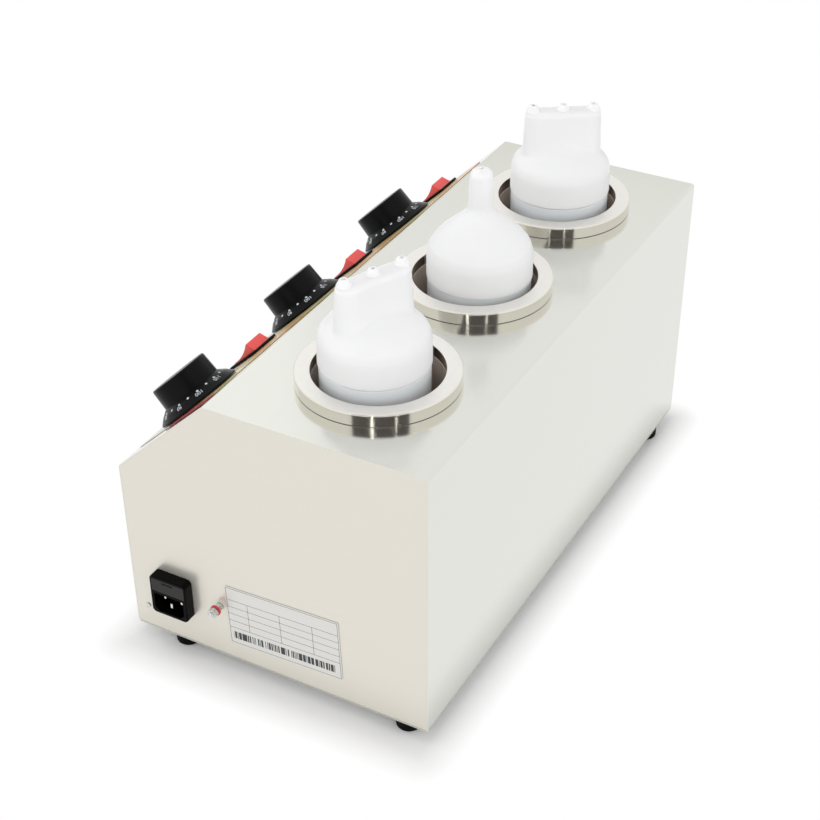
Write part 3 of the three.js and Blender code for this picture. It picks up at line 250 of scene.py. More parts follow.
def prism(outline: Outline, bottom: float, top: float, edge: float = 0.0, under_edge: float = 0.0) -> Shape:
    """Pushes an anticlockwise outline along +Z.

    Args:
        outline: The outline in XY.
        bottom: Height of the lower face.
        top: Height of the upper face.
        edge: Radius of the upper edge.
        under_edge: Radius of the lower edge.

    Returns:
        The prism.
    """
    low, high = [level(outline, bottom)], [level(outline, top)]
    if under_edge:
        low = [level(inset(outline, under_edge * (1 - math.sin(a))), bottom + under_edge * (1 - math.cos(a)))
               for a in quarter_arc()]
    if edge:
        high = [level(inset(outline, edge * (1 - math.cos(a))), top - edge * (1 - math.sin(a)))
                for a in quarter_arc()]
    return loft(low + high)


def box(size: Sequence[float], centre: Sequence[float] = (0, 0, 0), edge: float = 0.0) -> Shape:
    """A box about a point.

    Args:
        size: Its three sides.
        centre: Its middle.
        edge: Radius of its rounded edges.

    Returns:
        The box.
    """
    shape = bmesh.new()
    bmesh.ops.create_cube(shape, size=1)
    bmesh.ops.scale(shape, vec=size, verts=shape.verts)
    bmesh.ops.translate(shape, vec=centre, verts=shape.verts)
    if edge:
        bmesh.ops.bevel(shape, geom=shape.edges[:], offset=edge, segments=EDGE_STEPS,
                        profile=ROUND_PROFILE, affect="EDGES")
    return shape


# Pieces


def placed(origin: Sequence[float], x_axis: Sequence[float] = (1, 0, 0),
           y_axis: Sequence[float] = (0, 1, 0)) -> Matrix:
    """The matrix that takes millimetres drawn on two axes to metres in the frame.

    Args:
        origin: Where the drawing's origin goes, in metres.
        x_axis: Direction of the drawing's +X.
        y_axis: Direction of the drawing's +Y.

    Returns:
        The matrix.
    """
    x, y = Vector(x_axis), Vector(y_axis)
    turn = Matrix((x, y, x.cross(y))).transposed().to_4x4()
    return Matrix.Translation(origin) @ turn @ Matrix.Scale(MM, 4)


def spin(degrees: float, axis: str) -> Matrix:
    """A turn about an axis."""
    return Matrix.Rotation(math.radians(degrees), 4, axis)


IN_FRAME = Matrix.Scale(MM, 4)


def solid(name: str, shape: Shape, place: Matrix) -> Piece:
    """Makes an object from a shape, which is used up.

    Args:
        name: The object's name.
        shape: The shape.
        place: What takes the shape to its place in the frame.

    Returns:
        The object.
    """
    bmesh.ops.transform(shape, matrix=place, verts=shape.verts)
    mesh = bpy.data.meshes.new(name)
    shape.to_mesh(mesh)
    shape.free()
    piece = bpy.data.objects.new(name, mesh)
    bpy.context.scene.collection.objects.link(piece)
    return piece


def turned(name: str, corners: Sequence[Triple], place: Matrix, steps: int = ROUND_STEPS) -> Piece:
    """A round piece from the corners of its profile, each a radius, a height and a rounding."""
    first_radius, _, _ = corners[0]
    return solid(name, lathe(rounded(corners, closed=first_radius > 0), steps), place)


def block(name: str, size: Sequence[float], centre: Sequence[float], place: Matrix,
          edge: float = 0.0) -> Piece:
    """A box as an object, to be joined to a piece or cut out of it."""
    return solid(name, box(size, centre, edge), place)


def rod(name: str, radius: float, ends: Pair, place: Matrix, steps: int = SMALL_ROUND_STEPS, x: float = 0.0,
        edge: float = 0.0) -> Piece:
    """A round rod along +Z between two heights, at a place on X, to be joined to a piece or cut out of it."""
    return solid(name, prism(circle(radius, steps, x), *ends, edge, edge), place)


def settle(piece: Piece) -> None:
    """Applies a piece's modifiers to its mesh.

    Args:
        piece: The piece.
    """
    old = piece.data
    evaluated = piece.evaluated_get(bpy.context.evaluated_depsgraph_get())
    piece.data = bpy.data.meshes.new_from_object(evaluated)
    piece.data.name = piece.name
    piece.modifiers.clear()
    bpy.data.meshes.remove(old)


class Join(Enum):
    """How one piece meets another."""

    CUT = "DIFFERENCE"
    ADD = "UNION"


def combine(piece: Piece, how: Join, tools: Iterable[Piece]) -> Piece:
    """Cuts or joins a piece with others, which are used up.

    Args:
        piece: The piece.
        how: Whether the others are cut out or added.
        tools: The others.

    Returns:
        The piece.
    """
    tools = list(tools)
    for tool in tools:
        step = piece.modifiers.new("combine", "BOOLEAN")
        step.object, step.operation, step.solver = tool, how.value, "EXACT"
    settle(piece)
    for tool in tools:
        bpy.data.objects.remove(tool)
    return piece


def drop_slivers(piece: Piece) -> Piece:
    """Takes out the faces without area that a cut leaves in a dense mesh.

    Args:
        piece: The piece that was cut.

    Returns:
        The piece.
    """
    shape = bmesh.new()
    shape.from_mesh(piece.data)
    bmesh.ops.remove_doubles(shape, verts=shape.verts, dist=SLIVER_MM * MM)
    bmesh.ops.dissolve_degenerate(shape, edges=shape.edges, dist=SLIVER_MM * MM)
    shape.to_mesh(piece.data)
    shape.free()
    return piece


def soften(piece: Piece, edge: float = 0.0, crease: float = CREASE) -> Piece:
    """Rounds a piece's sharp edges and smooths its shading.

    Args:
        piece: The piece.
        edge: Radius of the rounded edges in millimetres, or zero to leave them.
        crease: Edges sharper than this many degrees stay crisp.

    Returns:
        The piece.
    """
    if edge:
        bevel = piece.modifiers.new("worn_edges", "BEVEL")
        bevel.width, bevel.segments = edge * MM, WORN_EDGE_STEPS
        bevel.limit_method, bevel.angle_limit = "ANGLE", math.radians(crease)
        settle(piece)
    piece.data.shade_smooth()
    piece.data.set_sharp_from_angle(angle=math.radians(crease))
    piece.modifiers.new("even_normals", "WEIGHTED_NORMAL").keep_sharp = True
    return piece


# Materials


def linear(hex_colour: str) -> tuple[float, float, float, float]:
    """Turns an sRGB colour into linear red, green, blue and alpha, by the sRGB curve.

    Args:
        hex_colour: The colour as six hex digits.

    Returns:
        The linear colour.
    """
    channels = [channel / BYTE_TOP for channel in bytes.fromhex(hex_colour)]
    red, green, blue = (c / SRGB_SLOPE if c <= SRGB_KNEE
                        else ((c + SRGB_OFFSET) / (1 + SRGB_OFFSET)) ** SRGB_POWER for c in channels)
    return red, green, blue, 1.0


def add_node(tree: Tree, kind: str, *values: Any, inputs: dict[str | int, Any] | None = None,
             **settings: Any) -> bpy.types.Node:
    """Adds a node with its settings and links.

    Args:
        tree: The tree.
        kind: The node's type, without the words that all shader nodes share.
        values: What its first sockets get, in order, each a value or an output to link.
        inputs: What other sockets get, by name or number.
        settings: The node's own settings by name.

    Returns:
        The node.
    """
    node = tree.nodes.new("ShaderNode" + kind)
    for name, value in settings.items():
        setattr(node, name, value)
    for name, value in (dict(enumerate(values)) | (inputs or {})).items():
        if isinstance(value, bpy.types.NodeSocket):
            tree.links.new(value, node.inputs[name])
        else:
            node.inputs[name].default_value = value
    return node


def new_material(name: str) -> bpy.types.Material:
    """A material with an empty shader.

    Args:
        name: Its name.

    Returns:
        The material.
    """
    material = bpy.data.materials.new(name)
    material.use_nodes = True
    return material


@dataclass(frozen=True)
class Finish:
    """A surface: what it is made of and how it was made.

    The grain is a noise in the part's own space, as long each way as grain_mm says. It varies the tone and
    the roughness and raises the surface by grain_depth_mm. A grain that is too fine to show in the render
    is drawn as coarse as it needs to show, and the finish's comment says so.
    """

    name: str
    slot: str
    colour: str
    roughness: float
    shade: str = ""
    metallic: float = 0.0
    ior: float = 1.5
    specular: float = 0.5
    coat: float = 0.0
    subsurface_mm: float = 0.0
    transmission: float = 0.0
    grain_mm: Triple = (3.0, 3.0, 3.0)
    grain_detail: float = 3.0
    grain_depth_mm: float = 0.0
    roughness_spread: float = 0.05

    def material(self) -> bpy.types.Material:
        """The finish as a material, made once.

        Returns:
            The material.
        """
        ready = bpy.data.materials.get(self.name)
        if ready:
            return ready
        material = new_material(self.name)
        material.diffuse_color = linear(self.colour)
        self.dress(material.node_tree)
        return material

    def dress(self, tree: Tree) -> None:
        """Sets the shader's own values, and gives it the grain and the pattern.

        Args:
            tree: The material's nodes.
        """
        shader = tree.nodes["Principled BSDF"]
        values = {
            "Base Color": linear(self.colour), "Metallic": self.metallic, "Roughness": self.roughness,
            "IOR": self.ior, "Specular IOR Level": self.specular, "Coat Weight": self.coat,
            "Transmission Weight": self.transmission,
        }
        if self.subsurface_mm:
            values |= {"Subsurface Weight": 1.0, "Subsurface Radius": (1.0, 1.0, 1.0),
                       "Subsurface Scale": self.subsurface_mm * MM}
        for socket, value in values.items():
            shader.inputs[socket].default_value = value
        space = add_node(tree, "TexCoord").outputs["Object"]
        scale = [1 / (length * MM) for length in self.grain_mm]
        along = add_node(tree, "Mapping", inputs={"Vector": space, "Scale": scale}).outputs["Vector"]
        noise = {"Vector": along, "Scale": 1.0, "Detail": self.grain_detail}
        grain = add_node(tree, "TexNoise", inputs=noise).outputs[0]
        colour = self.pattern(tree, space, grain)
        if colour is not None:
            tree.links.new(colour, shader.inputs["Base Color"])
        low, high = self.roughness - self.roughness_spread, self.roughness + self.roughness_spread
        rough = add_node(tree, "MapRange", grain, 0.0, 1.0, low, high)
        tree.links.new(rough.outputs[0], shader.inputs["Roughness"])
        if self.grain_depth_mm:
            bump = add_node(tree, "Bump", inputs={"Height": grain, "Distance": self.grain_depth_mm * MM})
            tree.links.new(bump.outputs[0], shader.inputs["Normal"])

    def pattern(self, tree: Tree, space: Socket, grain: Socket) -> Socket | None:
        """The surface's colour where it varies: here the grain mixes the shade into the colour.

        Args:
            tree: The material's nodes.
            space: A point's place in the piece's own space, which this pattern does not use.
            grain: The grain's value.

        Returns:
            The colour, or None where it is the same all over.
        """
        if not self.shade:
            return None
        mixed = {MIX_SHARE: grain, MIX_FIRST: linear(self.colour), MIX_SECOND: linear(self.shade)}
        return add_node(tree, "Mix", inputs=mixed, data_type="RGBA").outputs[MIX_RESULT]


@dataclass(frozen=True)
class OverlayPrint(Finish):
    """Printed polyester overlay: khaki, warmer at the switches, a red band at both ends, bare at its foot."""

    warm: str = "D9A86A"
    warm_waves: Pair = (0.1, 0.9)
    band: str = "C4494D"
    band_width_mm: float = 9.0
    pitch_mm: float = 136.0
    warm_at_m: float = 0.0
    ends_m: Pair = (-0.2, 0.2)
    bare: str = "DCDAD2"
    print_from_m: float = 0.18
    ink_edge_m: float = 0.0003

    def pattern(self, tree: Tree, space: Socket, grain: Socket) -> Socket:
        """Khaki that warms once to each switch, then the band by its distance to the nearer end.

        Args:
            tree: The material's nodes.
            space: A point's place in the piece's own space.
            grain: The grain's value, which the print doesn't show.

        Returns:
            The colour.
        """
        axes = add_node(tree, "SeparateXYZ", space).outputs
        from_switch = add_node(tree, "Math", axes["X"], self.warm_at_m, operation="SUBTRACT").outputs[0]
        turns = 2 * math.pi / (self.pitch_mm * MM)
        phase = add_node(tree, "Math", from_switch, turns, operation="MULTIPLY").outputs[0]
        wave = add_node(tree, "Math", phase, operation="COSINE").outputs[0]
        warmth = add_node(tree, "MapRange", wave, *self.warm_waves).outputs[0]
        mixed = {MIX_SHARE: warmth, MIX_FIRST: linear(self.colour), MIX_SECOND: linear(self.warm)}
        field_colour = add_node(tree, "Mix", inputs=mixed, data_type="RGBA").outputs[MIX_RESULT]
        low, high = self.ends_m
        from_low = add_node(tree, "Math", axes["X"], low, operation="SUBTRACT").outputs[0]
        from_high = add_node(tree, "Math", high, axes["X"], operation="SUBTRACT").outputs[0]
        to_end = add_node(tree, "Math", from_low, from_high, operation="MINIMUM").outputs[0]
        band_width = self.band_width_mm * MM
        inside = add_node(tree, "MapRange", to_end, band_width / 2, band_width).outputs[0]
        mixed = {MIX_SHARE: inside, MIX_FIRST: linear(self.band), MIX_SECOND: field_colour}
        printed = add_node(tree, "Mix", inputs=mixed, data_type="RGBA").outputs[MIX_RESULT]
        start, soft = self.print_from_m, self.ink_edge_m
        inked = add_node(tree, "MapRange", axes["Z"], start - soft, start + soft).outputs[0]
        mixed = {MIX_SHARE: inked, MIX_FIRST: linear(self.bare), MIX_SECOND: printed}
        return add_node(tree, "Mix", inputs=mixed, data_type="RGBA").outputs[MIX_RESULT]


@dataclass(frozen=True)
class PlateEtch(Finish):
    """Etched foil plate: a grey frame, a bare ruled table and a row of plain bars."""

    ink: str = "3C3F42"
    centre_m: Triple = (0.0, 0.0, 0.0)
    tilt_degrees: float = 0.0
    width_mm: float = 90.0
    height_mm: float = 50.0
    frame_inset_mm: float = 0.8
    rule_mm: float = 0.32
    row_mm: float = 6.0
    column_mm: float = 25.7
    first_column_mm: float = 17.3
    table_bottom_mm: float = -10.3
    table_top_mm: float = 13.7
    bar_bottom_mm: float = -20.0
    bar_top_mm: float = -13.8
    bar_mm: float = 0.55
    bar_margin_mm: float = 3.5
    bar_share: float = 0.55

    def pattern(self, tree: Tree, space: Socket, grain: Socket) -> Socket:
        """Ink where a frame, a rule or a bar lies, in millimetres across and up the plate.

        Args:
            tree: The material's nodes.
            space: A point's place in the piece's own space.
            grain: The grain's value, which the ink doesn't show.

        Returns:
            The colour.
        """
        turned_space = add_node(tree, "Mapping", vector_type="TEXTURE", inputs={
            "Vector": space, "Location": self.centre_m, "Scale": (MM, MM, MM),
            "Rotation": (math.radians(self.tilt_degrees), 0, 0),
        })
        axes = add_node(tree, "SeparateXYZ", turned_space.outputs[0]).outputs
        wide, up = axes["Y"], axes["Z"]

        def both(*tests: Socket) -> Socket:
            """One where all tests are one.

            Args:
                tests: The tests.

            Returns:
                Their product.
            """
            result = tests[0]
            for test in tests[1:]:
                result = add_node(tree, "Math", result, test, operation="MULTIPLY").outputs[0]
            return result

        def within(value: Socket, low: float, high: float) -> Socket:
            """One where the value lies between two sizes."""
            above = add_node(tree, "Math", value, low, operation="GREATER_THAN").outputs[0]
            return both(above, add_node(tree, "Math", value, high, operation="LESS_THAN").outputs[0])

        def every(value: Socket, start: float, pitch: float) -> Socket:
            """One on a thin rule at each pitch.

            Args:
                value: A place across the rules.
                start: The place of the first one.
                pitch: From one to the next.

            Returns:
                One on a rule, else zero.
            """
            edge = start - self.rule_mm / 2
            shifted = add_node(tree, "Math", value, edge, operation="SUBTRACT").outputs[0]
            beyond = add_node(tree, "Math", shifted, pitch, operation="FLOORED_MODULO").outputs[0]
            return add_node(tree, "Math", beyond, self.rule_mm, operation="LESS_THAN").outputs[0]

        half_width = self.width_mm / 2 - self.frame_inset_mm
        half_height = self.height_mm / 2 - self.frame_inset_mm
        clear = within(wide, self.rule_mm - half_width, half_width - self.rule_mm)
        clear = both(clear, within(up, self.rule_mm - half_height, half_height - self.rule_mm))
        outside = both(within(wide, -half_width, half_width), within(up, -half_height, half_height))
        border = add_node(tree, "Math", outside, clear, operation="SUBTRACT").outputs[0]
        rows = every(up, self.table_bottom_mm, self.row_mm)
        columns = every(wide, self.first_column_mm - self.width_mm / 2, self.column_mm)
        ruled = add_node(tree, "Math", rows, columns, operation="MAXIMUM").outputs[0]
        table = both(ruled, within(up, self.table_bottom_mm - self.rule_mm, self.table_top_mm + self.rule_mm),
                     within(wide, -half_width, half_width))
        slices = add_node(tree, "Math", wide, self.bar_mm, operation="DIVIDE").outputs[0]
        slice_number = add_node(tree, "Math", slices, operation="FLOOR").outputs[0]
        chance = add_node(tree, "TexWhiteNoise", inputs={"W": slice_number}, noise_dimensions="1D")
        reach = self.width_mm / 2 - self.bar_margin_mm
        dark = add_node(tree, "Math", chance.outputs["Value"], self.bar_share, operation="LESS_THAN")
        bars = both(dark.outputs[0], within(up, self.bar_bottom_mm, self.bar_top_mm),
                    within(wide, -reach, reach))
        drawn = add_node(tree, "Math", border, table, operation="MAXIMUM").outputs[0]
        inked = add_node(tree, "Math", drawn, bars, operation="MAXIMUM").outputs[0]
        mixed = {MIX_SHARE: inked, MIX_FIRST: linear(self.colour), MIX_SECOND: linear(self.ink)}
        return add_node(tree, "Mix", inputs=mixed, data_type="RGBA").outputs[MIX_RESULT]


# Stainless steel sheet, brushed along its length and bright enough to mirror what stands on it. The real
# scratches are about 0.1 mm wide, and these are drawn at 0.7 mm to show
STEEL_ALONG = Finish("stainless_sheet_brushed_along", "satin_steel", "E1E2DB", 0.16, shade="DEDFD8",
                     metallic=1.0, grain_mm=(45.0, 0.7, 0.7), grain_depth_mm=0.0008, roughness_spread=0.03)
# The same sheet with its grain across the ends, drawn as coarse, where it scatters much of the light; its
# warmer colour and lower metallic are painted shade, the darker tone that the faces turned along X take from
# the light
STEEL_ACROSS_AND_SHADE = Finish("stainless_sheet_brushed_across_and_shade", "satin_steel", "E3DFD5", 0.32, shade="E0DCD1",
                      metallic=0.6, grain_mm=(0.7, 45.0, 0.7), grain_depth_mm=0.0008, roughness_spread=0.04)
# Turned and buffed stainless steel: sharp reflections with faint wiping marks
STEEL_BUFFED = Finish("stainless_collar_buffed", "polished_steel", "E6E2D8", 0.025, metallic=1.0,
                      grain_mm=(14.0, 14.0, 14.0), roughness_spread=0.01)
# The collar's flat top, left satin as the lathe tool faced it, and painted paler than the buffed sides: a
# painted highlight where the upward faces take the light from above
STEEL_FACED_LIT_TOP = Finish("stainless_collar_faced_lit_top", "polished_steel", "F2F0EC", 0.42, shade="EDEBE6",
                     metallic=1.0, grain_depth_mm=0.001)
# Deep-drawn stainless steel, darker from years of heat
STEEL_DRAWN = Finish("stainless_cup_drawn", "well_steel", "DACBC0", 0.5, shade="C8B9AE", metallic=0.25,
                     grain_mm=(1.2, 1.2, 30.0), grain_depth_mm=0.01, roughness_spread=0.06)
# Zinc-plated steel: bluish grey and a little cloudy
ZINC = Finish("zinc_plated_steel", "zinc_steel", "E2E3E0", 0.28, shade="CDCFCC", metallic=1.0,
              grain_mm=(1.5, 1.5, 1.5), roughness_spread=0.08)
# Nickel-plated brass: smooth and slightly warm
NICKEL = Finish("nickel_plated_brass", "nickel", "E4E1DA", 0.14, metallic=1.0, roughness_spread=0.04)
# Drawn copper tube: dull orange, darker where it was handled
COPPER = Finish("drawn_copper", "copper", "C48B68", 0.32, shade="8F5B40", metallic=1.0,
                grain_mm=(4.0, 4.0, 4.0), roughness_spread=0.1)
# Moulded rubber: near black and matt, with a fine pebble that is drawn coarser than it is to show
RUBBER = Finish("moulded_rubber", "rubber", "050505", 0.62, shade="080808", specular=0.08,
                grain_mm=(0.6, 0.6, 0.6), grain_depth_mm=0.03, roughness_spread=0.08)
# Braided glass sleeving soaked in black varnish: dark and dull, with the braid showing through
SLEEVING = Finish("varnished_glass_sleeving", "cable", "2B2A28", 0.55, shade="454340",
                  grain_mm=(0.8, 0.8, 0.8), grain_depth_mm=0.12, roughness_spread=0.1)
# Moulded black ABS: glossy, with the faint waviness of a moulding
ABS_BLACK = Finish("black_abs_moulded", "black_plastic", "090A0A", 0.3, shade="0D0E0E", specular=0.1,
                   grain_mm=(9.0, 9.0, 9.0), grain_depth_mm=0.01, roughness_spread=0.06)
# Black nylon moulding: deeper than the ABS, with less gloss
NYLON_BLACK = Finish("black_nylon_moulded", "black_plastic", "030303", 0.4, shade="060606", specular=0.05,
                     grain_mm=(2.0, 2.0, 2.0), grain_depth_mm=0.006)
# Glass-filled nylon: a dark grey, satin moulding
NYLON_GREY = Finish("dark_nylon_moulded", "grey_plastic", "2C2B2A", 0.42, shade="252424", specular=0.2,
                    grain_mm=(0.8, 0.8, 0.8), grain_depth_mm=0.012, roughness_spread=0.06)
# Phenolic moulding: brown-black with a mottle from its filler
PHENOLIC = Finish("phenolic_moulding", "phenolic", "2A2320", 0.45, shade="3A302A", ior=1.6,
                  grain_mm=(2.0, 2.0, 2.0), grain_depth_mm=0.02, roughness_spread=0.1)
# Natural nylon: waxy off-white
NYLON_NATURAL = Finish("natural_nylon", "nylon", "E6E2D6", 0.45, shade="DDD8C8", ior=1.53,
                       subsurface_mm=1.0, grain_depth_mm=0.01)
# Moulded red polycarbonate: clear gloss over a saturated red
RED_ROCKER = Finish("red_polycarbonate_moulded", "red_plastic", "FA5E5A", 0.3, shade="F45653", specular=0.35,
                    grain_mm=(6.0, 6.0, 6.0), grain_depth_mm=0.004, roughness_spread=0.04)
# Dyed nylon ring: a deeper red with a waxy gloss
NYLON_RED = Finish("red_nylon_turned", "red_plastic", "C9434C", 0.4, shade="BE3B44", specular=0.3,
                   grain_depth_mm=0.005)
# Mica sheets in a steel band: flaky fawn
MICA = Finish("mica_band", "mica", "A8967A", 0.5, shade="83715A", ior=1.58, grain_mm=(5.0, 5.0, 9.0),
              grain_depth_mm=0.06, roughness_spread=0.12)
# Blow-moulded polyethylene: cloudy, bluish and soft-edged
POLY_BOTTLE = Finish("polyethylene_blow_moulded", "bottle_plastic", "E8ECEE", 0.4, shade="E1E6E9", ior=1.54,
                     subsurface_mm=1.5, grain_mm=(12.0, 12.0, 20.0), grain_depth_mm=0.02)
# Injection-moulded polyethylene: opaque white with a waxy sheen
POLY_CAP = Finish("polyethylene_cap_moulded", "cap_plastic", "F4F4F5", 0.45, shade="F2F2F3", ior=1.54,
                  subsurface_mm=2.0, grain_mm=(16.0, 16.0, 16.0), grain_depth_mm=0.02, roughness_spread=0.06)
# Screen-printed marks: a cool white that sits a little proud
WHITE_INK = Finish("white_screen_ink", "black_plastic", "D9E0E4", 0.5, shade="C9D2D8",
                   grain_mm=(0.8, 0.8, 0.8))
# Screen-printed pointers: matt black
BLACK_INK = Finish("black_screen_ink", "black_plastic", "1B1A19", 0.55, shade="22211F", specular=0.2,
                   grain_mm=(0.8, 0.8, 0.8))
# Drawn glass tube: clear, with sharp reflections
FUSE_GLASS = Finish("fuse_glass_tube", "fuse_glass", "F4F7F7", 0.04, ior=1.5, transmission=0.9,
                    grain_mm=(8.0, 8.0, 8.0), roughness_spread=0.02)


# The object


def hand_over(piece: Piece, finish: Finish, *nodes: str, body: str = "casing") -> None:
    """Gives a piece its finish, the body it rides on and the nodes it stands for.

    Args:
        piece: The piece.
        finish: Its finish.
        nodes: The nodes that it replaces.
        body: The body that it moves with.
    """
    if not piece.data.materials:
        piece.data.materials.append(finish.material())
    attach(piece, body)
    if nodes:
        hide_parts(*nodes)
    log.info("%s rides on %s and is made of %s", piece.name, body, finish.name)


def paint(piece: Piece, finishes: Sequence[Finish], pick: Callable[[bpy.types.MeshPolygon], int]) -> Piece:
    """Gives a piece several finishes, one of them for each face.

    Args:
        piece: The piece.
        finishes: The finishes, the main one first.
        pick: Tells a face's finish by its number.

    Returns:
        The piece.
    """
    piece.data.materials.clear()
    for finish in finishes:
        piece.data.materials.append(finish.material())
    for face in piece.data.polygons:
        face.material_index = pick(face)
    return piece


def keep(node: str, finish: Finish) -> None:
    """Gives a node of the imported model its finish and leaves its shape.

    Args:
        node: The node.
        finish: Its finish.
    """
    piece = frame["nodes"][node]
    piece.data.materials.clear()
    piece.data.materials.append(finish.material())
    log.info("%s keeps its solid and is made of %s", node, finish.name)


def corners_mm(node: str) -> tuple[Vector, Vector]:
    """The lowest and highest corners of a node's box, in millimetres."""
    low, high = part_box(node)
    return low / MM, high / MM


def radius_and_height(node: str) -> Pair:
    """The radius and the height of an upright round node, in millimetres."""
    low, high = corners_mm(node)
    return (high.x - low.x) / 2, high.z - low.z


def middle(node: str) -> Vector:
    """The middle of a node's box, in metres."""
    low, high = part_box(node)
    return (low + high) / 2


def joint(name: str) -> dict[str, Any]:
    """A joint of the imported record, by name."""
    return next(entry for entry in frame["joints"] if entry["name"] == name)


NORMAL = Vector(joint("dial_1_turn")["axis"]).normalized()
UP_SLOPE = NORMAL.cross(Vector((1, 0, 0)))
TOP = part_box("casing_shell")[1].z
END_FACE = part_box("end_panel_inlet")[1].x


def standing(node: str) -> Matrix:
    """Draws upward from the middle of a node's underside."""
    centre, (low, _) = middle(node), corners_mm(node)
    return placed((centre.x, centre.y, low.z * MM))


def on_slope(name: str) -> Matrix:
    """Draws on the control face, +Y up the slope, about a joint's place."""
    return placed(joint(name)["pos_m"], y_axis=UP_SLOPE)


def on_end(node: str, flush: bool = False) -> Matrix:
    """Draws outward about a node at the inlet's end, +Y up, from its inner face or, flush, from the panel."""
    centre, (low, _) = middle(node), corners_mm(node)
    return placed((END_FACE if flush else low.x * MM, centre.y, centre.z), (0, 1, 0), (0, 0, 1))


@dataclass
class Casing:
    """The bent sheet, its end panels and base, and the feet below."""

    sheet: float = 1.0
    bend: float = 2.4
    bend_steps: int = 10
    seam: float = 0.03
    flange: float = 12.0
    fold_edge: float = 0.25
    end_edge: float = 0.05
    end_facing: float = 0.7
    cup_wall_radius: float = 44.9
    bush_radius: float = 5.3
    switch_hole: Triple = (21.6, 30.6, 12.0)
    inlet_hole: Pair = (27.8, 29.4)
    stud_hole_radius: float = 2.1
    screw_hole_radius: float = 1.2
    foot_recess: Pair = (4.6, 4.5)
    foot_bore: float = 2.2
    foot_toe: float = 2.2
    foot_edge: float = 0.6
    foot_recess_corner: float = 0.4
    screw_radius: float = 1.9
    screw_head: Pair = (3.8, 2.4)
    screw_crown: float = 1.2
    screw_edge: float = 0.2
    screw_tip: float = 0.4
    screw_cross: Pair = (0.9, 4.4)
    screw_cross_share: float = 0.7

    def corners(self, distance: float) -> list[Triple]:
        """The casing's five corners in depth and height, with their bend radii.

        Args:
            distance: How far inward they are moved.

        Returns:
            The corners, from the front's foot over the top to the back's foot.
        """
        low, high = corners_mm("casing_shell")
        point = Vector(joint("dial_1_turn")["pos_m"]) / MM
        lean = UP_SLOPE.z / UP_SLOPE.y
        front_top = point.z + (low.y - point.y) * lean
        fold = point.y + (high.z - point.z) / lean
        angle = math.atan(lean)
        radius = max(self.bend - distance, self.sheet / 2)
        return [
            (low.y + distance, low.z, 0.0),
            (low.y + distance, front_top - distance * math.tan((QUARTER_TURN - angle) / 2), radius),
            (fold + distance * math.tan(angle / 2), high.z - distance, radius),
            (high.y - distance, high.z - distance, radius),
            (high.y - distance, low.z, 0.0),
        ]

    def section(self, x: float, distance: float) -> list[Vector]:
        """The casing's outline at one place along its length, moved inward by a distance."""
        return across(rounded(self.corners(distance), steps=self.bend_steps), x)

    def edge_arc(self, radius: float) -> list[Pair]:
        """A rounded edge from the long surface to the end: how far inside the face, and how far inward."""
        return [(radius * (1 - math.sin(a)), radius * (1 - math.cos(a))) for a in quarter_arc()]

    def holes(self) -> list[Piece]:
        """What cuts the holes of the wells, the dials' bushes and the switches.

        Returns:
            The cutters.
        """
        tools = []
        for number in WELL_NUMBERS:
            well = middle(f"collar_ring_{number}")
            tools.append(rod("hole", self.cup_wall_radius, (-OVERRUN, OVERRUN), placed((well.x, well.y, TOP)),
                             ROUND_STEPS))
            tools.append(rod("hole", self.bush_radius, (-OVERRUN, OVERRUN), on_slope(f"dial_{number}_turn")))
            tools.append(block("hole", self.switch_hole, (0, 0, 0), on_slope(f"rocker_{number}_tilt")))
        return tools

    def shell(self) -> Piece:
        """Front, control face, top and back, bent from one sheet.

        Returns:
            The sheet, with its holes.
        """
        rings = []
        for side, corner in zip((-1, 1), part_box("casing_shell")):
            for into, inward in self.edge_arc(self.fold_edge)[::side]:
                x = corner.x / MM - side * into
                rings.append(self.section(x, inward) + self.section(x, self.sheet)[::-1])
        piece = combine(solid("casing_sheet", loft(rings), IN_FRAME), Join.CUT, self.holes())
        # Faces turned along X take the copy of the steel with painted shade
        paint(piece, (STEEL_ALONG, STEEL_ACROSS_AND_SHADE), lambda face: abs(face.normal.x) > self.end_facing)
        return soften(piece)

    def end(self, node: str, side: int) -> Piece:
        """A tray that closes one end, its face flush with the sheet's edge.

        Args:
            node: The node that it replaces.
            side: 1 at the inlet, -1 at the far end.

        Returns:
            The tray.
        """
        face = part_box(node)[(side + 1) // 2].x / MM
        gap = self.sheet + self.seam
        inside = gap + self.sheet
        places = [(into, gap + inward) for into, inward in reversed(self.edge_arc(self.end_edge))]
        places += [(self.flange, gap), (self.flange, inside), (self.sheet, inside)]
        rings = [self.section(face - side * into, inward) for into, inward in places]
        return solid(node + "_tray", loft(rings), IN_FRAME)

    def inlet_end(self) -> Piece:
        """The inlet's end panel, with the inlet's opening and two small holes.

        Returns:
            The panel.
        """
        tools = [block("hole", (*self.inlet_hole, 2 * OVERRUN), (0, 0, 0), on_end("inlet_body", True))]
        for node, radius in (("bonding_stud", self.stud_hole_radius), ("end_screw", self.screw_hole_radius)):
            tools.append(rod("hole", radius, (-OVERRUN, OVERRUN), on_end(node, True)))
        return combine(self.end("end_panel_inlet", 1), Join.CUT, tools)

    def foot(self, number: int) -> Piece:
        """A turned rubber foot with a rounded toe and a recess for its screw.

        Args:
            number: The foot's number.

        Returns:
            The foot.
        """
        radius, height = radius_and_height(f"foot_{number}")
        recess, depth = self.foot_recess
        corners = [
            (self.foot_bore, height, 0.0), (radius, height, self.foot_edge), (radius, 0.0, self.foot_toe),
            (recess, 0.0, self.foot_edge), (recess, depth, self.foot_recess_corner),
            (self.foot_bore, depth, 0.0),
        ]
        place = standing(f"foot_{number}")
        return soften(turned(f"foot_rubber_{number}", corners, place, SMALL_ROUND_STEPS))

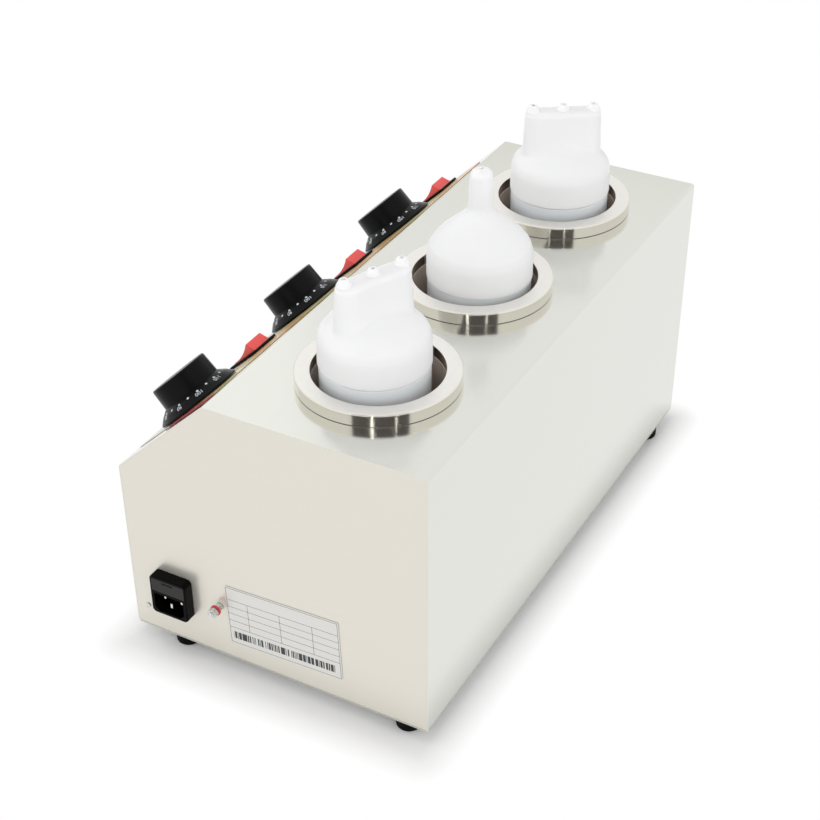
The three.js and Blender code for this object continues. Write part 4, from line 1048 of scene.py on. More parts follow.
    def screw(self, number: int) -> Piece:
        """A pan-head screw with a cross recess, seen in the foot from below.

        Args:
            number: The foot's number.

        Returns:
            The screw.
        """
        _, length = radius_and_height(f"foot_screw_{number}")
        head, thickness = self.screw_head
        place = standing(f"foot_screw_{number}")
        piece = turned(f"foot_screw_turned_{number}", [
            (0.0, 0.0, 0.0), (head, 0.0, self.screw_crown), (head, thickness, self.screw_edge),
            (self.screw_radius, thickness, self.screw_edge), (self.screw_radius, length, self.screw_tip),
            (0.0, length, 0.0),
        ], place, SMALL_ROUND_STEPS)
        narrow, long = self.screw_cross
        depth = 2 * (thickness * self.screw_cross_share)
        slots = [block("slot", (*size, depth), (0, 0, 0), place) for size in ((narrow, long), (long, narrow))]
        return soften(combine(piece, Join.CUT, slots))

    def build(self) -> None:
        """Makes the casing's pieces and hands them over."""
        hand_over(self.shell(), STEEL_ALONG, "casing_shell")
        hand_over(soften(self.end("end_panel_far", -1)), STEEL_ACROSS_AND_SHADE, "end_panel_far")
        hand_over(soften(self.inlet_end()), STEEL_ACROSS_AND_SHADE, "end_panel_inlet")
        keep("base_plate", STEEL_ALONG)
        for number in FOOT_NUMBERS:
            hand_over(self.foot(number), RUBBER, f"foot_{number}")
            hand_over(self.screw(number), ZINC, f"foot_screw_{number}")


@dataclass
class Wells:
    """The drawn cups in the top, their collars and the heaters round them."""

    wall: float = 0.8
    cup_corner: float = 8.0
    cup_rim_edge: float = 0.2
    flange: float = 6.5
    collar_width: float = 10.8
    collar_wall: float = 0.9
    collar_rounding: float = 1.1
    collar_edge: float = 0.15
    collar_fold: float = 0.3
    lip_rounding: float = 0.45
    upward: float = 0.98

    def cup(self, number: int) -> Piece:
        """A deep-drawn cup with a round bottom corner and a flange on the top sheet.

        Args:
            number: The well's number.

        Returns:
            The cup.
        """
        rim, height = radius_and_height(f"well_cup_{number}")
        outer = rim - self.flange
        inner = outer - self.wall
        return soften(turned(f"well_cup_drawn_{number}", [
            (0.0, self.wall, 0.0), (inner, self.wall, self.cup_corner), (inner, height, self.wall / 2),
            (rim, height, self.cup_rim_edge), (rim, height - self.wall, self.cup_rim_edge),
            (outer, height - self.wall, self.wall / 2), (outer, 0.0, self.cup_corner), (0.0, 0.0, 0.0),
        ], standing(f"well_cup_{number}")))

    def collar(self, number: int) -> Piece:
        """A buffed ring of channel section with a rounded outer edge.

        Args:
            number: The well's number.

        Returns:
            The collar.
        """
        outer, height = radius_and_height(f"collar_ring_{number}")
        inner = outer - self.collar_width
        inside, outside = inner + self.collar_wall, outer - self.collar_wall
        roof, foot = height - self.collar_wall, self.wall + self.lip_rounding
        piece = turned(f"collar_turned_{number}", [
            (outer, 0.0, self.collar_edge), (outer, height, self.collar_rounding),
            (inner, height, self.lip_rounding), (inner, foot, self.collar_edge),
            (inside, foot, self.collar_edge), (inside, roof, self.collar_fold),
            (outside, roof, self.collar_fold), (outside, 0.0, self.collar_edge),
        ], standing(f"collar_ring_{number}"), 2 * ROUND_STEPS)
        # The upward faces get the paler copy of the steel, painted light on the collar's top
        return soften(paint(piece, (STEEL_BUFFED, STEEL_FACED_LIT_TOP), lambda face: face.normal.z > self.upward))

    def build(self) -> None:
        """Makes each well's cup and collar, and dresses what lies round it inside."""
        for number in WELL_NUMBERS:
            hand_over(self.cup(number), STEEL_DRAWN, f"well_cup_{number}")
            hand_over(self.collar(number), STEEL_BUFFED, f"collar_ring_{number}")
            keep(f"heater_band_{number}", MICA)
            keep(f"thermostat_sensor_{number}", COPPER)


@dataclass
class Bottles:
    """Squeeze bottles with their caps: two with a bar of three teats and one with a nozzle."""

    wall: float = 1.4
    corner: float = 5.0
    neck_step: float = 1.2
    neck_height: float = 16.0
    neck_run: float = 1.0
    neck_edge: float = 0.6
    neck_foot: float = 0.3
    lip_edge: float = 0.4
    inner_fillet: float = 2.0
    rim_drop: float = 4.0
    fit: float = 0.2
    skirt: float = 19.5
    crown: float = 1.6
    rim_rounding: float = 0.45
    shoulder: Pair = (35.0, 4.5)
    skirt_rounding: float = 18.0
    shoulder_rounding: float = 8.5
    least_fillet: float = 0.5
    nozzle_dome: tuple[Triple, ...] = ((30.2, 11.0, 36.0), (20.4, 20.0, 50.0), (11.4, 27.0, 13.0),
                                       (8.8, 32.0, 10.0))
    nozzle_tip: Pair = (7.6, 6.9)
    nozzle_tip_share: float = 0.85
    nozzle_bore: float = 1.3
    bore_edges: Pair = (0.4, 0.3)
    crown_fillets: Pair = (1.0, 0.8)
    bar_dome: tuple[Triple, ...] = ((27.0, 11.0, 26.0), (12.0, 18.0, 20.0))
    bar_bottom: Triple = (59.0, 25.0, 8.0)
    bar_top: Triple = (56.0, 17.0, 43.2)
    bar_root: float = 6.0
    bar_wall: float = 1.8
    bar_rounding: float = 4.6
    bar_edge_steps: int = 8
    bar_end_steps: int = 14
    bar_end_share: float = 0.999
    bar_turns: dict[int, float] = field(default_factory=lambda: {1: 156.0, 3: 123.0})
    teat_places: Triple = (-22.0, 0.0, 22.0)
    teat: Triple = (4.6, 2.8, 4.0)
    teat_foot: Triple = (0.6, 0.4, 1.5)
    teat_tip: float = 1.6
    blend_voxel: float = 0.8
    blend_rounds: int = 26
    blend_strength: float = 0.5
    blend_least: float = 0.04
    blend_below: float = 1.0
    blend_rises: Pair = (3.0, 4.0)
    nozzle_crease: float = 50.0
    bar_crease: float = 40.0

    def bottle(self, number: int) -> Piece:
        """A blow-moulded bottle, hollow and open at its neck.

        Args:
            number: The well's number.

        Returns:
            The bottle.
        """
        radius, top = radius_and_height(f"bottle_{number}")
        shoulder, neck = top - self.neck_height, radius - self.neck_step
        bore, inside = neck - self.wall, radius - self.wall
        return soften(turned(f"bottle_moulded_{number}", [
            (0.0, 0.0, 0.0), (radius, 0.0, self.corner), (radius, shoulder, self.neck_edge),
            (neck, shoulder, self.neck_foot), (neck, top, self.lip_edge), (bore, top, self.lip_edge),
            (bore, shoulder - self.neck_step, self.inner_fillet),
            (inside, shoulder - 2 * self.neck_step - self.neck_run, self.inner_fillet),
            (inside, self.wall, self.corner - self.wall), (0.0, self.wall, 0.0),
        ], standing(f"bottle_{number}")))

    def cap_place(self, number: int) -> Matrix:
        """Where a cap's lower rim is centred, a little below its solid's to meet the longer neck.

        Args:
            number: The well's number.

        Returns:
            The place.
        """
        low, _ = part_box(f"cap_{number}")
        centre = middle(f"bottle_{number}")
        return placed((centre.x, centre.y, low.z - self.rim_drop * MM))

    def cap_bore(self, number: int) -> float:
        """The radius inside a cap's skirt, which fits the bottle's neck."""
        radius, _ = radius_and_height(f"bottle_{number}")
        return radius - self.neck_step + self.fit

    def dome_corners(self, number: int, dome: Sequence[Triple]) -> list[Triple]:
        """The outer corners of a cap from its lower rim to the top of its dome.

        Args:
            number: The well's number.
            dome: The dome's own corners, their heights above the skirt.

        Returns:
            The corners.
        """
        radius, _ = radius_and_height(f"cap_{number}")
        shoulder, rise = self.shoulder
        corners = [(radius, 0.0, self.rim_rounding), (radius, self.skirt - self.crown, self.skirt_rounding),
                   (shoulder, self.skirt + rise, self.shoulder_rounding)]
        return corners + [(r, self.skirt + h, rounding) for r, h, rounding in dome]

    def inner_corners(self, outer: Sequence[Triple]) -> list[Triple]:
        """The dome's corners on the inside of its wall."""
        return [(r - self.wall, h - self.wall, max(rounding - self.wall, self.least_fillet))
                for r, h, rounding in outer[2:]]

    def nozzle_cap(self, number: int) -> Piece:
        """A cap that flows from a dome into one tall nozzle with a small bore.

        Args:
            number: The well's number.

        Returns:
            The cap.
        """
        bore = self.cap_bore(number)
        tip, rounding = self.nozzle_tip
        mouth_edge, throat_edge = self.bore_edges
        crown_fillet, _ = self.crown_fillets
        low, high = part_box(f"cap_{number}")
        top = (high.z - low.z) / MM + self.rim_drop
        outer = self.dome_corners(number, self.nozzle_dome)
        return soften(turned(f"cap_moulded_{number}", [
            (bore, 0.0, self.rim_rounding), *outer, (tip, top, rounding * self.nozzle_tip_share),
            (self.nozzle_bore, top, mouth_edge), (self.nozzle_bore, top - rounding, throat_edge),
            (tip - self.wall, top - 2 * rounding, self.inner_fillet), *reversed(self.inner_corners(outer)),
            (bore, self.skirt - self.crown, crown_fillet),
        ], self.cap_place(number)), crease=self.nozzle_crease)

    def bar(self, shrink: float, bottom: float, top: float, place: Matrix) -> Piece:
        """The cap's tapered bar with its top edge rounded, to be joined to the dome or to its hollow.

        Args:
            shrink: How much smaller it is on each side.
            bottom: Height of its foot above the rim.
            top: Height of its top above the rim.
            place: What takes it to its place in the frame.

        Returns:
            The bar.
        """
        length, thickness, _ = self.bar_bottom
        top_length, top_thickness, _ = self.bar_top
        rounding = self.bar_rounding - shrink / 2
        levels = [(length, thickness, bottom)]
        for a in quarter_arc(self.bar_edge_steps):
            inward = 2 * rounding * (1 - math.cos(a))
            levels.append((top_length - inward, top_thickness - inward, top - rounding * (1 - math.sin(a))))
        slimness = thickness / length
        outline = rectangle(1.0, slimness, self.bar_end_share * slimness / 2, self.bar_end_steps)
        rings = [[Vector((p.real * (wide - 2 * shrink), p.imag * (deep - 2 * shrink) / slimness, height))
                  for p in outline] for wide, deep, height in levels]
        return solid("bar", loft(rings), place)

    def teat_at(self, x: float, top: float, place: Matrix) -> Piece:
        """One short teat on the bar's top.

        Args:
            x: Where it stands along the bar.
            top: Height of the bar's top above the rim.
            place: What takes it to its place in the frame.

        Returns:
            The teat.
        """
        base, tip, height = self.teat
        spread, dip, fillet_radius = self.teat_foot
        return turned("teat", [
            (0.0, top - base, 0.0), (base, top - base, 0.0), (base + spread, top - dip, fillet_radius),
            (tip, top + height, self.teat_tip), (0.0, top + height, 0.0),
        ], place @ Matrix.Translation((x, 0, 0)), SMALL_ROUND_STEPS)

    def flow(self, piece: Piece, base: float, top: float) -> None:
        """Lets the bar flow into the dome: an even mesh, smoothed between the skirt and the bar's top edge.

        Args:
            piece: The cap.
            base: Height of its rim in the frame, in millimetres.
            top: Height of the bar's top above the rim.
        """
        remesh = piece.modifiers.new("even", "REMESH")
        remesh.mode, remesh.voxel_size = "VOXEL", self.blend_voxel * MM
        settle(piece)
        group = piece.vertex_groups.new(name="flow")
        start, end = base + self.skirt - self.blend_below, base + top - 2 * self.bar_rounding
        rise, fall = self.blend_rises
        for vertex in piece.data.vertices:
            height = vertex.co.z / MM
            share = min((height - start) / rise, (end - height) / fall)
            group.add([vertex.index], max(self.blend_least, min(1.0, share)), "REPLACE")
        smooth = piece.modifiers.new("flow", "SMOOTH")
        smooth.factor, smooth.iterations = self.blend_strength, self.blend_rounds
        smooth.vertex_group = group.name
        settle(piece)
        piece.vertex_groups.clear()

    def bar_cap(self, number: int) -> Piece:
        """A cap whose dome flows into a flat bar with three short teats.

        Args:
            number: The well's number.

        Returns:
            The cap.
        """
        place, bore = self.cap_place(number), self.cap_bore(number)
        along = place @ spin(self.bar_turns[number], "Z")
        (_, _, bar_rise), (_, _, top_rise) = self.bar_bottom, self.bar_top
        _, crown_fillet = self.crown_fillets
        top, foot = self.skirt + top_rise, self.skirt + bar_rise - self.bar_root
        _, dome_rise, _ = self.bar_dome[-1]
        crown_height = self.skirt + dome_rise
        outer = self.dome_corners(number, self.bar_dome)
        piece = turned(f"cap_moulded_{number}", [(0.0, 0.0, 0.0), *outer, (0.0, crown_height, 0.0)], place)
        combine(piece, Join.ADD, [self.bar(0.0, foot, top, along)])
        self.flow(piece, place.translation.z / MM, top)
        hollow = turned("hollow", [
            (0.0, -OVERRUN, 0.0), (bore, -OVERRUN, 0.0), (bore, self.skirt - self.crown, crown_fillet),
            *self.inner_corners(outer), (0.0, crown_height - self.wall, 0.0),
        ], place)
        combine(hollow, Join.ADD, [self.bar(self.bar_wall, foot - self.wall, top - self.wall, along)])
        combine(piece, Join.ADD, [self.teat_at(x, top, along) for x in self.teat_places])
        base, _, height = self.teat
        ends = (top - base, top + height + OVERRUN)
        bores = [rod("bore", self.nozzle_bore, ends, along, TINY_ROUND_STEPS, x) for x in self.teat_places]
        return soften(drop_slivers(combine(piece, Join.CUT, [hollow, *bores])), crease=self.bar_crease)

    def build(self) -> None:
        """Makes the bottles and caps and hands them over."""
        for number in WELL_NUMBERS:
            hand_over(self.bottle(number), POLY_BOTTLE, f"bottle_{number}", body=f"bottle_{number}")
            cap = self.bar_cap(number) if number in self.bar_turns else self.nozzle_cap(number)
            hand_over(cap, POLY_CAP, f"cap_{number}", body=f"cap_{number}")


@dataclass
class Dials:
    """Numbered dials on the thermostats' spindles."""

    lift: float = 1.25
    grip: float = 21.8
    draft: float = 0.5
    height: float = 23.0
    edge: float = 1.3
    grip_foot: float = 0.6
    skirt_rim: Triple = (30.7, 1.0, 0.5)
    waist: Triple = (26.6, 5.0, 7.0)
    skirt_top: float = 8.4
    wall: float = 2.4
    hub: float = 6.5
    bore: float = 3.2
    hub_lift: float = 2.4
    hub_edge: float = 0.4
    bore_edge: float = 0.3
    waist_inside: float = 2.0
    roof_fillet: float = 1.0
    spindle_reach: float = 18.3
    marks: tuple[str, ...] = ("0", "40", "50", "60", "70", "80", "90", "100", "110")
    mark_step: float = 36.0
    mark_start: float = 72.0
    mark_size: float = 4.2
    mark_drop: float = 6.4
    mark_smoothness: int = 3
    dot_step: float = 18.0
    dot_drop: float = 3.8
    dot_radius: float = 0.95
    dot_steps: tuple[int, int] = (16, 8)
    ink: float = 0.05

    def skirt(self) -> Outline:
        """The skirt's outer profile from the grip's foot to its rim.

        Returns:
            Its points as radius and height.
        """
        rim, rim_height, rim_edge = self.skirt_rim
        waist, waist_height, waist_fillet = self.waist
        return rounded([
            (self.grip, self.lift + self.skirt_top, 0.0), (waist, self.lift + waist_height, waist_fillet),
            (rim, self.lift + rim_height, rim_edge), (rim, self.lift, 0.0),
        ], closed=False)

    def on_skirt(self, along: float) -> tuple[complex, complex]:
        """A place on the skirt.

        Args:
            along: Distance down the skirt from the grip's foot.

        Returns:
            The point as radius and height, and the direction out of the surface.
        """
        profile = self.skirt()
        for start, end in zip(profile, profile[1:]):
            length = abs(end - start)
            if along <= length:
                return start + (end - start) * along / length, unit(end - start) * 1j
            along -= length
        return profile[-1], 1 + 0j

    def moulding(self, number: int, place: Matrix) -> Piece:
        """The dial itself: a plain cylinder on a flared skirt, hollow below.

        Args:
            number: The well's number.
            place: What takes it to its place in the frame.

        Returns:
            The dial.
        """
        top = self.lift + self.height
        roof, hub_foot = top - self.wall, self.lift + self.hub_lift
        (rim, _, _), (_, waist_height, _) = self.skirt_rim, self.waist
        inner = self.grip - self.wall
        upper = rounded([
            (0.0, top, 0.0), (self.grip - self.draft, top, self.edge),
            (self.grip, self.lift + self.skirt_top + self.grip_foot, 0.0),
        ], closed=False)
        inside = rounded([
            (rim, self.lift, 0.0), (rim - self.wall, self.lift, self.bore_edge),
            (inner, self.lift + waist_height, self.waist_inside), (inner, roof, self.roof_fillet),
            (self.hub, roof, self.roof_fillet), (self.hub, hub_foot, self.hub_edge),
            (self.bore, hub_foot, self.bore_edge), (self.bore, self.spindle_reach, 0.0),
            (0.0, self.spindle_reach, 0.0),
        ], closed=False)
        return soften(solid(f"dial_moulded_{number}", lathe(upper + self.skirt() + inside[1:]), place))

    def numeral(self, text: str, angle: float) -> Shape:
        """A number printed on the skirt, its top outward.

        Args:
            text: The number.
            angle: Its place round the dial in degrees, anticlockwise from the upper edge of the control face.

        Returns:
            The number's thin raised ink.
        """
        curve = bpy.data.curves.new("numeral", "FONT")
        curve.body, curve.size, curve.align_x, curve.align_y = text, self.mark_size, "CENTER", "CENTER"
        curve.extrude, curve.resolution_u = self.ink, self.mark_smoothness
        holder = bpy.data.objects.new("numeral", curve)
        bpy.context.scene.collection.objects.link(holder)
        drawn = holder.evaluated_get(bpy.context.evaluated_depsgraph_get())
        shape = bmesh.new()
        shape.from_mesh(bpy.data.meshes.new_from_object(drawn))
        bpy.data.objects.remove(holder)
        bmesh.ops.remove_doubles(shape, verts=shape.verts, dist=WELD_MM)
        for vertex in shape.verts:
            point, out = self.on_skirt(self.mark_drop + vertex.co.y)
            around = math.radians(RIGHT_ANGLE + angle) - vertex.co.x / point.real
            point += out * (vertex.co.z + self.ink)
            vertex.co = (point.real * math.cos(around), point.real * math.sin(around), point.imag)
        return shape

    def dot(self, angle: float) -> Shape:
        """A raised printed dot near the grip's foot.

        Args:
            angle: Its place round the dial, as for a number.

        Returns:
            The dot.
        """
        point, out = self.on_skirt(self.dot_drop)
        around, rising = self.dot_steps
        shape = bmesh.new()
        bmesh.ops.create_uvsphere(shape, u_segments=around, v_segments=rising, radius=self.dot_radius)
        bmesh.ops.scale(shape, vec=(1, 1, 2 * self.ink / self.dot_radius), verts=shape.verts)
        lean = spin(RIGHT_ANGLE - math.degrees(cmath.phase(out)), "Y")
        place = spin(RIGHT_ANGLE + angle, "Z") @ Matrix.Translation((point.real, 0, point.imag)) @ lean
        bmesh.ops.transform(shape, matrix=place, verts=shape.verts)
        return shape

    def print(self, number: int, place: Matrix) -> Piece:
        """All the ink of one dial as one piece.

        Args:
            number: The well's number.
            place: What takes it to its place in the frame.

        Returns:
            The print.
        """
        ink = bmesh.new()
        shapes = [self.numeral(mark, self.mark_start + k * self.mark_step)
                  for k, mark in enumerate(self.marks)]
        shapes += [self.dot(k * self.dot_step) for k in range(round(FULL_TURN / self.dot_step))]
        for shape in shapes:
            mesh = bpy.data.meshes.new("ink")
            shape.to_mesh(mesh)
            shape.free()
            ink.from_mesh(mesh)
            bpy.data.meshes.remove(mesh)
        return solid(f"dial_print_{number}", ink, place)

    def build(self) -> None:
        """Makes each dial with its print, and dresses its spindle and thermostat."""
        for number in WELL_NUMBERS:
            place = on_slope(f"dial_{number}_turn")
            hand_over(self.moulding(number, place), ABS_BLACK, f"dial_{number}", body=f"dial_{number}")
            hand_over(self.print(number, place), WHITE_INK, body=f"dial_{number}")
            keep(f"thermostat_shaft_{number}", ZINC)
            keep(f"thermostat_{number}", PHENOLIC)


@dataclass
class Switches:
    """Rocker switches in the control face."""

    bezel: Triple = (26.0, 32.0, 1.8)
    bezel_corner: float = 1.5
    bezel_edge: float = 0.7
    seat: float = 0.85
    depth: float = 24.0
    lap: float = 0.1
    floor: float = 12.0
    body: Pair = (21.0, 30.2)
    cavity: Pair = (18.6, 27.8)
    blade: Triple = (6.3, 0.8, 8.0)
    blade_edge: float = 0.2
    blade_spacing: float = 11.0
    rocker_width: float = 18.0
    half_length: float = 13.3
    peak_half_length: float = 10.8
    peak: float = 7.6
    sag: float = 1.8
    sag_steps: int = 20
    knee: float = 3.0
    keel: Pair = (5.0, 6.0)
    tilt: float = 17.0
    pivot_drop: float = 1.0
    trunnion: Pair = (1.2, 1.0)
    trunnion_edge: float = 0.3
    fit: float = 0.3
    edge: float = 0.45
    crease: float = 34.0

    def housing(self, number: int) -> Piece:
        """Bezel with a rounded edge, the body below it and its blades.

        Args:
            number: The well's number.

        Returns:
            The housing.
        """
        pivot = Vector(joint(f"rocker_{number}_tilt")["pos_m"])
        place = placed(pivot + NORMAL * self.pivot_drop * MM, y_axis=UP_SLOPE)
        width, length, thickness = self.bezel
        top, bottom, floor = self.seat + thickness, self.seat - self.depth, self.seat - self.floor
        plate = prism(rectangle(width, length, self.bezel_corner), self.seat, top, self.bezel_edge)
        piece = solid(f"switch_housing_moulded_{number}", plate, place)
        middle_z = self.seat - self.depth / 2 + self.lap
        combine(piece, Join.ADD, [block("body", (*self.body, self.depth), (0, 0, middle_z), place)])
        deep = top + OVERRUN - floor
        radius, reach = self.trunnion
        half = self.rocker_width / 2 + reach + self.fit
        along = place @ Matrix.Translation((0, 0, -self.pivot_drop)) @ spin(RIGHT_ANGLE, "Y")
        combine(piece, Join.CUT, [
            block("cavity", (*self.cavity, deep), (0, 0, floor + deep / 2), place),
            rod("bearing", radius + self.fit, (-half, half), along, TINY_ROUND_STEPS),
        ])
        soften(piece)
        body_width, _ = self.body
        blade_width, blade_thickness, blade_length = self.blade
        size = (blade_width, blade_thickness, 2 * blade_length)
        blades = [block("blade", size, (side * body_width / 4, end * self.blade_spacing / 2, bottom), place,
                        self.blade_edge) for side in (-1, 1) for end in (-1, 1)]
        return combine(piece, Join.ADD, blades)

    def rocker(self, number: int) -> Piece:
        """A rocker with a hollowed top and soft edges, tilted to its off side.

        Args:
            number: The well's number.

        Returns:
            The rocker.
        """
        shares = [2 * k / self.sag_steps - 1 for k in range(self.sag_steps + 1)]
        valley = [complex(-s * self.peak_half_length, self.peak - self.sag * (1 - s * s)) for s in shares]
        keel_half, keel = self.keel
        foot = [complex(-self.half_length, -self.knee), complex(-keel_half, -keel), complex(keel_half, -keel),
                complex(self.half_length, -self.knee)]
        half = self.rocker_width / 2
        place = on_slope(f"rocker_{number}_tilt") @ spin(self.tilt, "X")
        sides = [across(foot + valley, x) for x in (-half, half)]
        piece = soften(solid(f"rocker_moulded_{number}", loft(sides), place), self.edge, self.crease)
        radius, reach = self.trunnion
        pin = rod("pin", radius, (-half - reach, half + reach), place @ spin(RIGHT_ANGLE, "Y"),
                  TINY_ROUND_STEPS, edge=self.trunnion_edge)
        return combine(piece, Join.ADD, [pin])

    def build(self) -> None:
        """Makes each switch's housing and rocker."""
        for number in WELL_NUMBERS:
            hand_over(self.housing(number), ABS_BLACK, f"switch_housing_{number}")
            hand_over(self.rocker(number), RED_ROCKER, f"rocker_{number}", body=f"rocker_{number}")


@dataclass
class InletEnd:
    """What the inlet's end panel carries: inlet, fuse drawer, bonding post, plate and a small screw."""

    face: Pair = (30.0, 33.0)
    reach: float = 8.4
    corner: float = 3.4
    corner_steps: int = 8
    face_edge: float = 0.9
    face_lift: float = 0.1
    body: Triple = (27.4, 29.0, 20.0)
    body_lap: float = 0.3
    socket: Triple = (24.4, 15.6, 16.5)
    socket_corner: float = 3.2
    socket_roundings: Pair = (0.8, 1.0)
    socket_drop: float = 6.4
    drawer_face: Triple = (27.2, 11.0, 2.1)
    drawer_face_edge: float = 0.35
    drawer: Triple = (24.4, 8.0, 20.0)
    drawer_edge: float = 0.2
    drawer_set_back: float = 0.4
    drawer_floor: float = 0.9
    drawer_grip: Triple = (9.0, 1.6, 0.8)
    grip_drop: float = 0.6
    pocket_length: float = 20.6
    pocket_wall: float = 1.0
    fit: float = 0.3
    pin: Pair = (2.0, 4.0)
    pin_fit: float = 0.2
    pin_nose: float = 0.5
    fuse_radius: float = 2.6
    fuse_cap: float = 4.5
    fuse_step: float = 0.3
    fuse_edge: float = 0.5
    thread_pitch: float = 0.7
    thread_depth: float = 0.35
    thread_runout: float = 0.5
    thread_facets: int = 32
    thread_steps: int = 8
    thread_crease: float = 60.0
    stud_radius: float = 2.0
    stud_fit: float = 0.05
    nut_sides: int = 6
    nut_corner: float = 0.3
    nut_corner_steps: int = 2
    lock_nut_edge: float = 0.3
    ring_edge: float = 0.4
    nut_edge: float = 0.5
    plate_tilt: float = 2.4
    plate_corner: float = 1.2
    plate_edge: float = 0.2
    screw_shank: Pair = (1.1, 0.2)
    screw_head: Pair = (1.9, 1.0)
    screw_neck: float = 0.1
    screw_rim: Pair = (0.3, 0.4)
    screw_crown: Pair = (0.6, 0.6)

    def inlet(self) -> Piece:
        """The moulding: a raised face with soft edges, the body behind it, its socket and drawer slot.

        Returns:
            The moulding.
        """
        place = on_end("inlet_body", True)
        width, height, depth = self.body
        middle_z = self.body_lap - depth / 2
        outline = rectangle(*self.face, self.corner, self.corner_steps)
        piece = solid("inlet_moulded", prism(outline, self.face_lift, self.reach, self.face_edge), place)
        combine(piece, Join.ADD, [block("body", (width, height, depth + 2 * self.body_lap), (0, 0, middle_z),
                                        place)])
        socket_width, socket_height, socket_depth = self.socket
        x, y, cut = socket_width / 2, socket_height / 2, self.socket_corner
        low_round, high_round = self.socket_roundings
        outline = rounded([(cut - x, -y, low_round), (x - cut, -y, low_round), (x, cut - y, low_round),
                           (x, y, high_round), (-x, y, high_round), (-x, cut - y, low_round)],
                          steps=EDGE_STEPS)
        floor = self.reach - socket_depth
        lower = place @ Matrix.Translation((0, -self.socket_drop, 0))
        tools = [solid("socket", prism(outline, floor, self.reach + OVERRUN), lower)]
        rise = (middle("fuse_drawer").z - middle("inlet_body").z) / MM
        upper = place @ Matrix.Translation((0, rise, 0))
        drawer_width, drawer_height, drawer_depth = self.drawer
        face_width, face_height, face_depth = self.drawer_face
        gap, deep = 2 * self.fit, drawer_depth + self.fit + OVERRUN
        tools.append(block("slot", (drawer_width + gap, drawer_height + gap, deep),
                           (0, 0, self.reach + OVERRUN - deep / 2), upper))
        size = (face_width + self.fit, face_height + self.fit, 2 * (face_depth + self.fit))
        tools.append(block("rebate", size, (0, 0, self.reach), upper))
        pin_width, pin_height = self.pin
        size = (pin_width + self.pin_fit, pin_height + self.pin_fit, 2 * depth)
        tools += [block("hole", size, (0, 0, floor - depth + OVERRUN), on_end(f"inlet_pin_{name}", True))
                  for name in PIN_NAMES]
        return soften(combine(piece, Join.CUT, tools))

    def fuse_drawer(self) -> Piece:
        """Front plate with a small grip, and the open tray behind it.

        Returns:
            The drawer.
        """
        place = on_end("fuse_drawer", True)
        face_width, face_height, thickness = self.drawer_face
        width, height, depth = self.drawer
        length = depth - self.drawer_set_back
        piece = block("fuse_drawer_moulded", (face_width, face_height, thickness),
                      (0, 0, self.reach - thickness / 2), place, self.drawer_face_edge)
        tray_z = self.reach - self.drawer_set_back - length / 2
        combine(piece, Join.ADD, [block("tray", (width, height, length), (0, 0, tray_z), place,
                                        self.drawer_edge)])
        fuse = middle("fuse")
        pocket = 2 * (self.fuse_radius + self.fit)
        back = self.reach - depth
        room = (fuse.x - END_FACE) / MM - pocket / 2 - back - 2 * self.pocket_wall
        grip_width, grip_height, grip_depth = self.drawer_grip
        return soften(combine(piece, Join.CUT, [
            block("pocket", (self.pocket_length, height, pocket), (0, 0, 0),
                  placed(fuse, (0, 1, 0), (0, 0, 1))),
            block("spare", (self.pocket_length, height, room),
                  (0, self.drawer_floor, back + self.pocket_wall + room / 2), place),
            block("grip", (grip_width, grip_height, 2 * grip_depth),
                  (0, height / 2 - self.grip_drop, self.reach), place, self.fit),
        ]))

    def fuse(self) -> Piece:
        """A glass cartridge with metal end caps.

        Returns:
            The fuse.
        """
        low, high = corners_mm("fuse")
        half, centre = (high.y - low.y) / 2, (low.y + high.y) / 2
        radius, glass, waist = self.fuse_radius, self.fuse_radius - self.fuse_step, half - self.fuse_cap
        piece = turned("fuse_cartridge", [
            (0.0, -half, 0.0), (radius, -half, self.fuse_edge), (radius, -waist, 0.0), (glass, -waist, 0.0),
            (glass, waist, 0.0), (radius, waist, 0.0), (radius, half, self.fuse_edge), (0.0, half, 0.0),
        ], placed(middle("fuse"), (0, 0, 1), (1, 0, 0)), SMALL_ROUND_STEPS)
        return soften(paint(piece, (FUSE_GLASS, NICKEL),
                            lambda face: abs(face.center.y / MM - centre) > waist))

    def pin_piece(self, name: str) -> Piece:
        """A flat pin with a chamfered nose.

        Args:
            name: The pin's name.

        Returns:
            The pin.
        """
        node = f"inlet_pin_{name}"
        low, high = corners_mm(node)
        return soften(block(f"inlet_pin_plated_{name}", high - low, (0, 0, 0), placed(middle(node)),
                            self.pin_nose))

    def stud(self) -> Piece:
        """The bonding stud with its thread, a helix worked out round the rod.

        Returns:
            The stud.
        """
        low, high = corners_mm("bonding_stud")
        length = high.x - low.x
        steps = round(length / self.thread_pitch * self.thread_steps)
        rings = []
        for k in range(steps + 1):
            x = length * k / steps
            end = min(x, length - x, self.thread_runout) / self.thread_runout
            ring = []
            for j in range(self.thread_facets):
                share = j / self.thread_facets
                phase = (x / self.thread_pitch - share) % 1
                radius = self.stud_radius - self.thread_depth * (abs(2 * phase - 1) * end + (1 - end))
                angle = 2 * math.pi * share
                ring.append(Vector((radius * math.cos(angle), radius * math.sin(angle), x)))
            rings.append(ring)
        return soften(solid("bonding_stud_threaded", loft(rings), on_end("bonding_stud")),
                      crease=self.thread_crease)

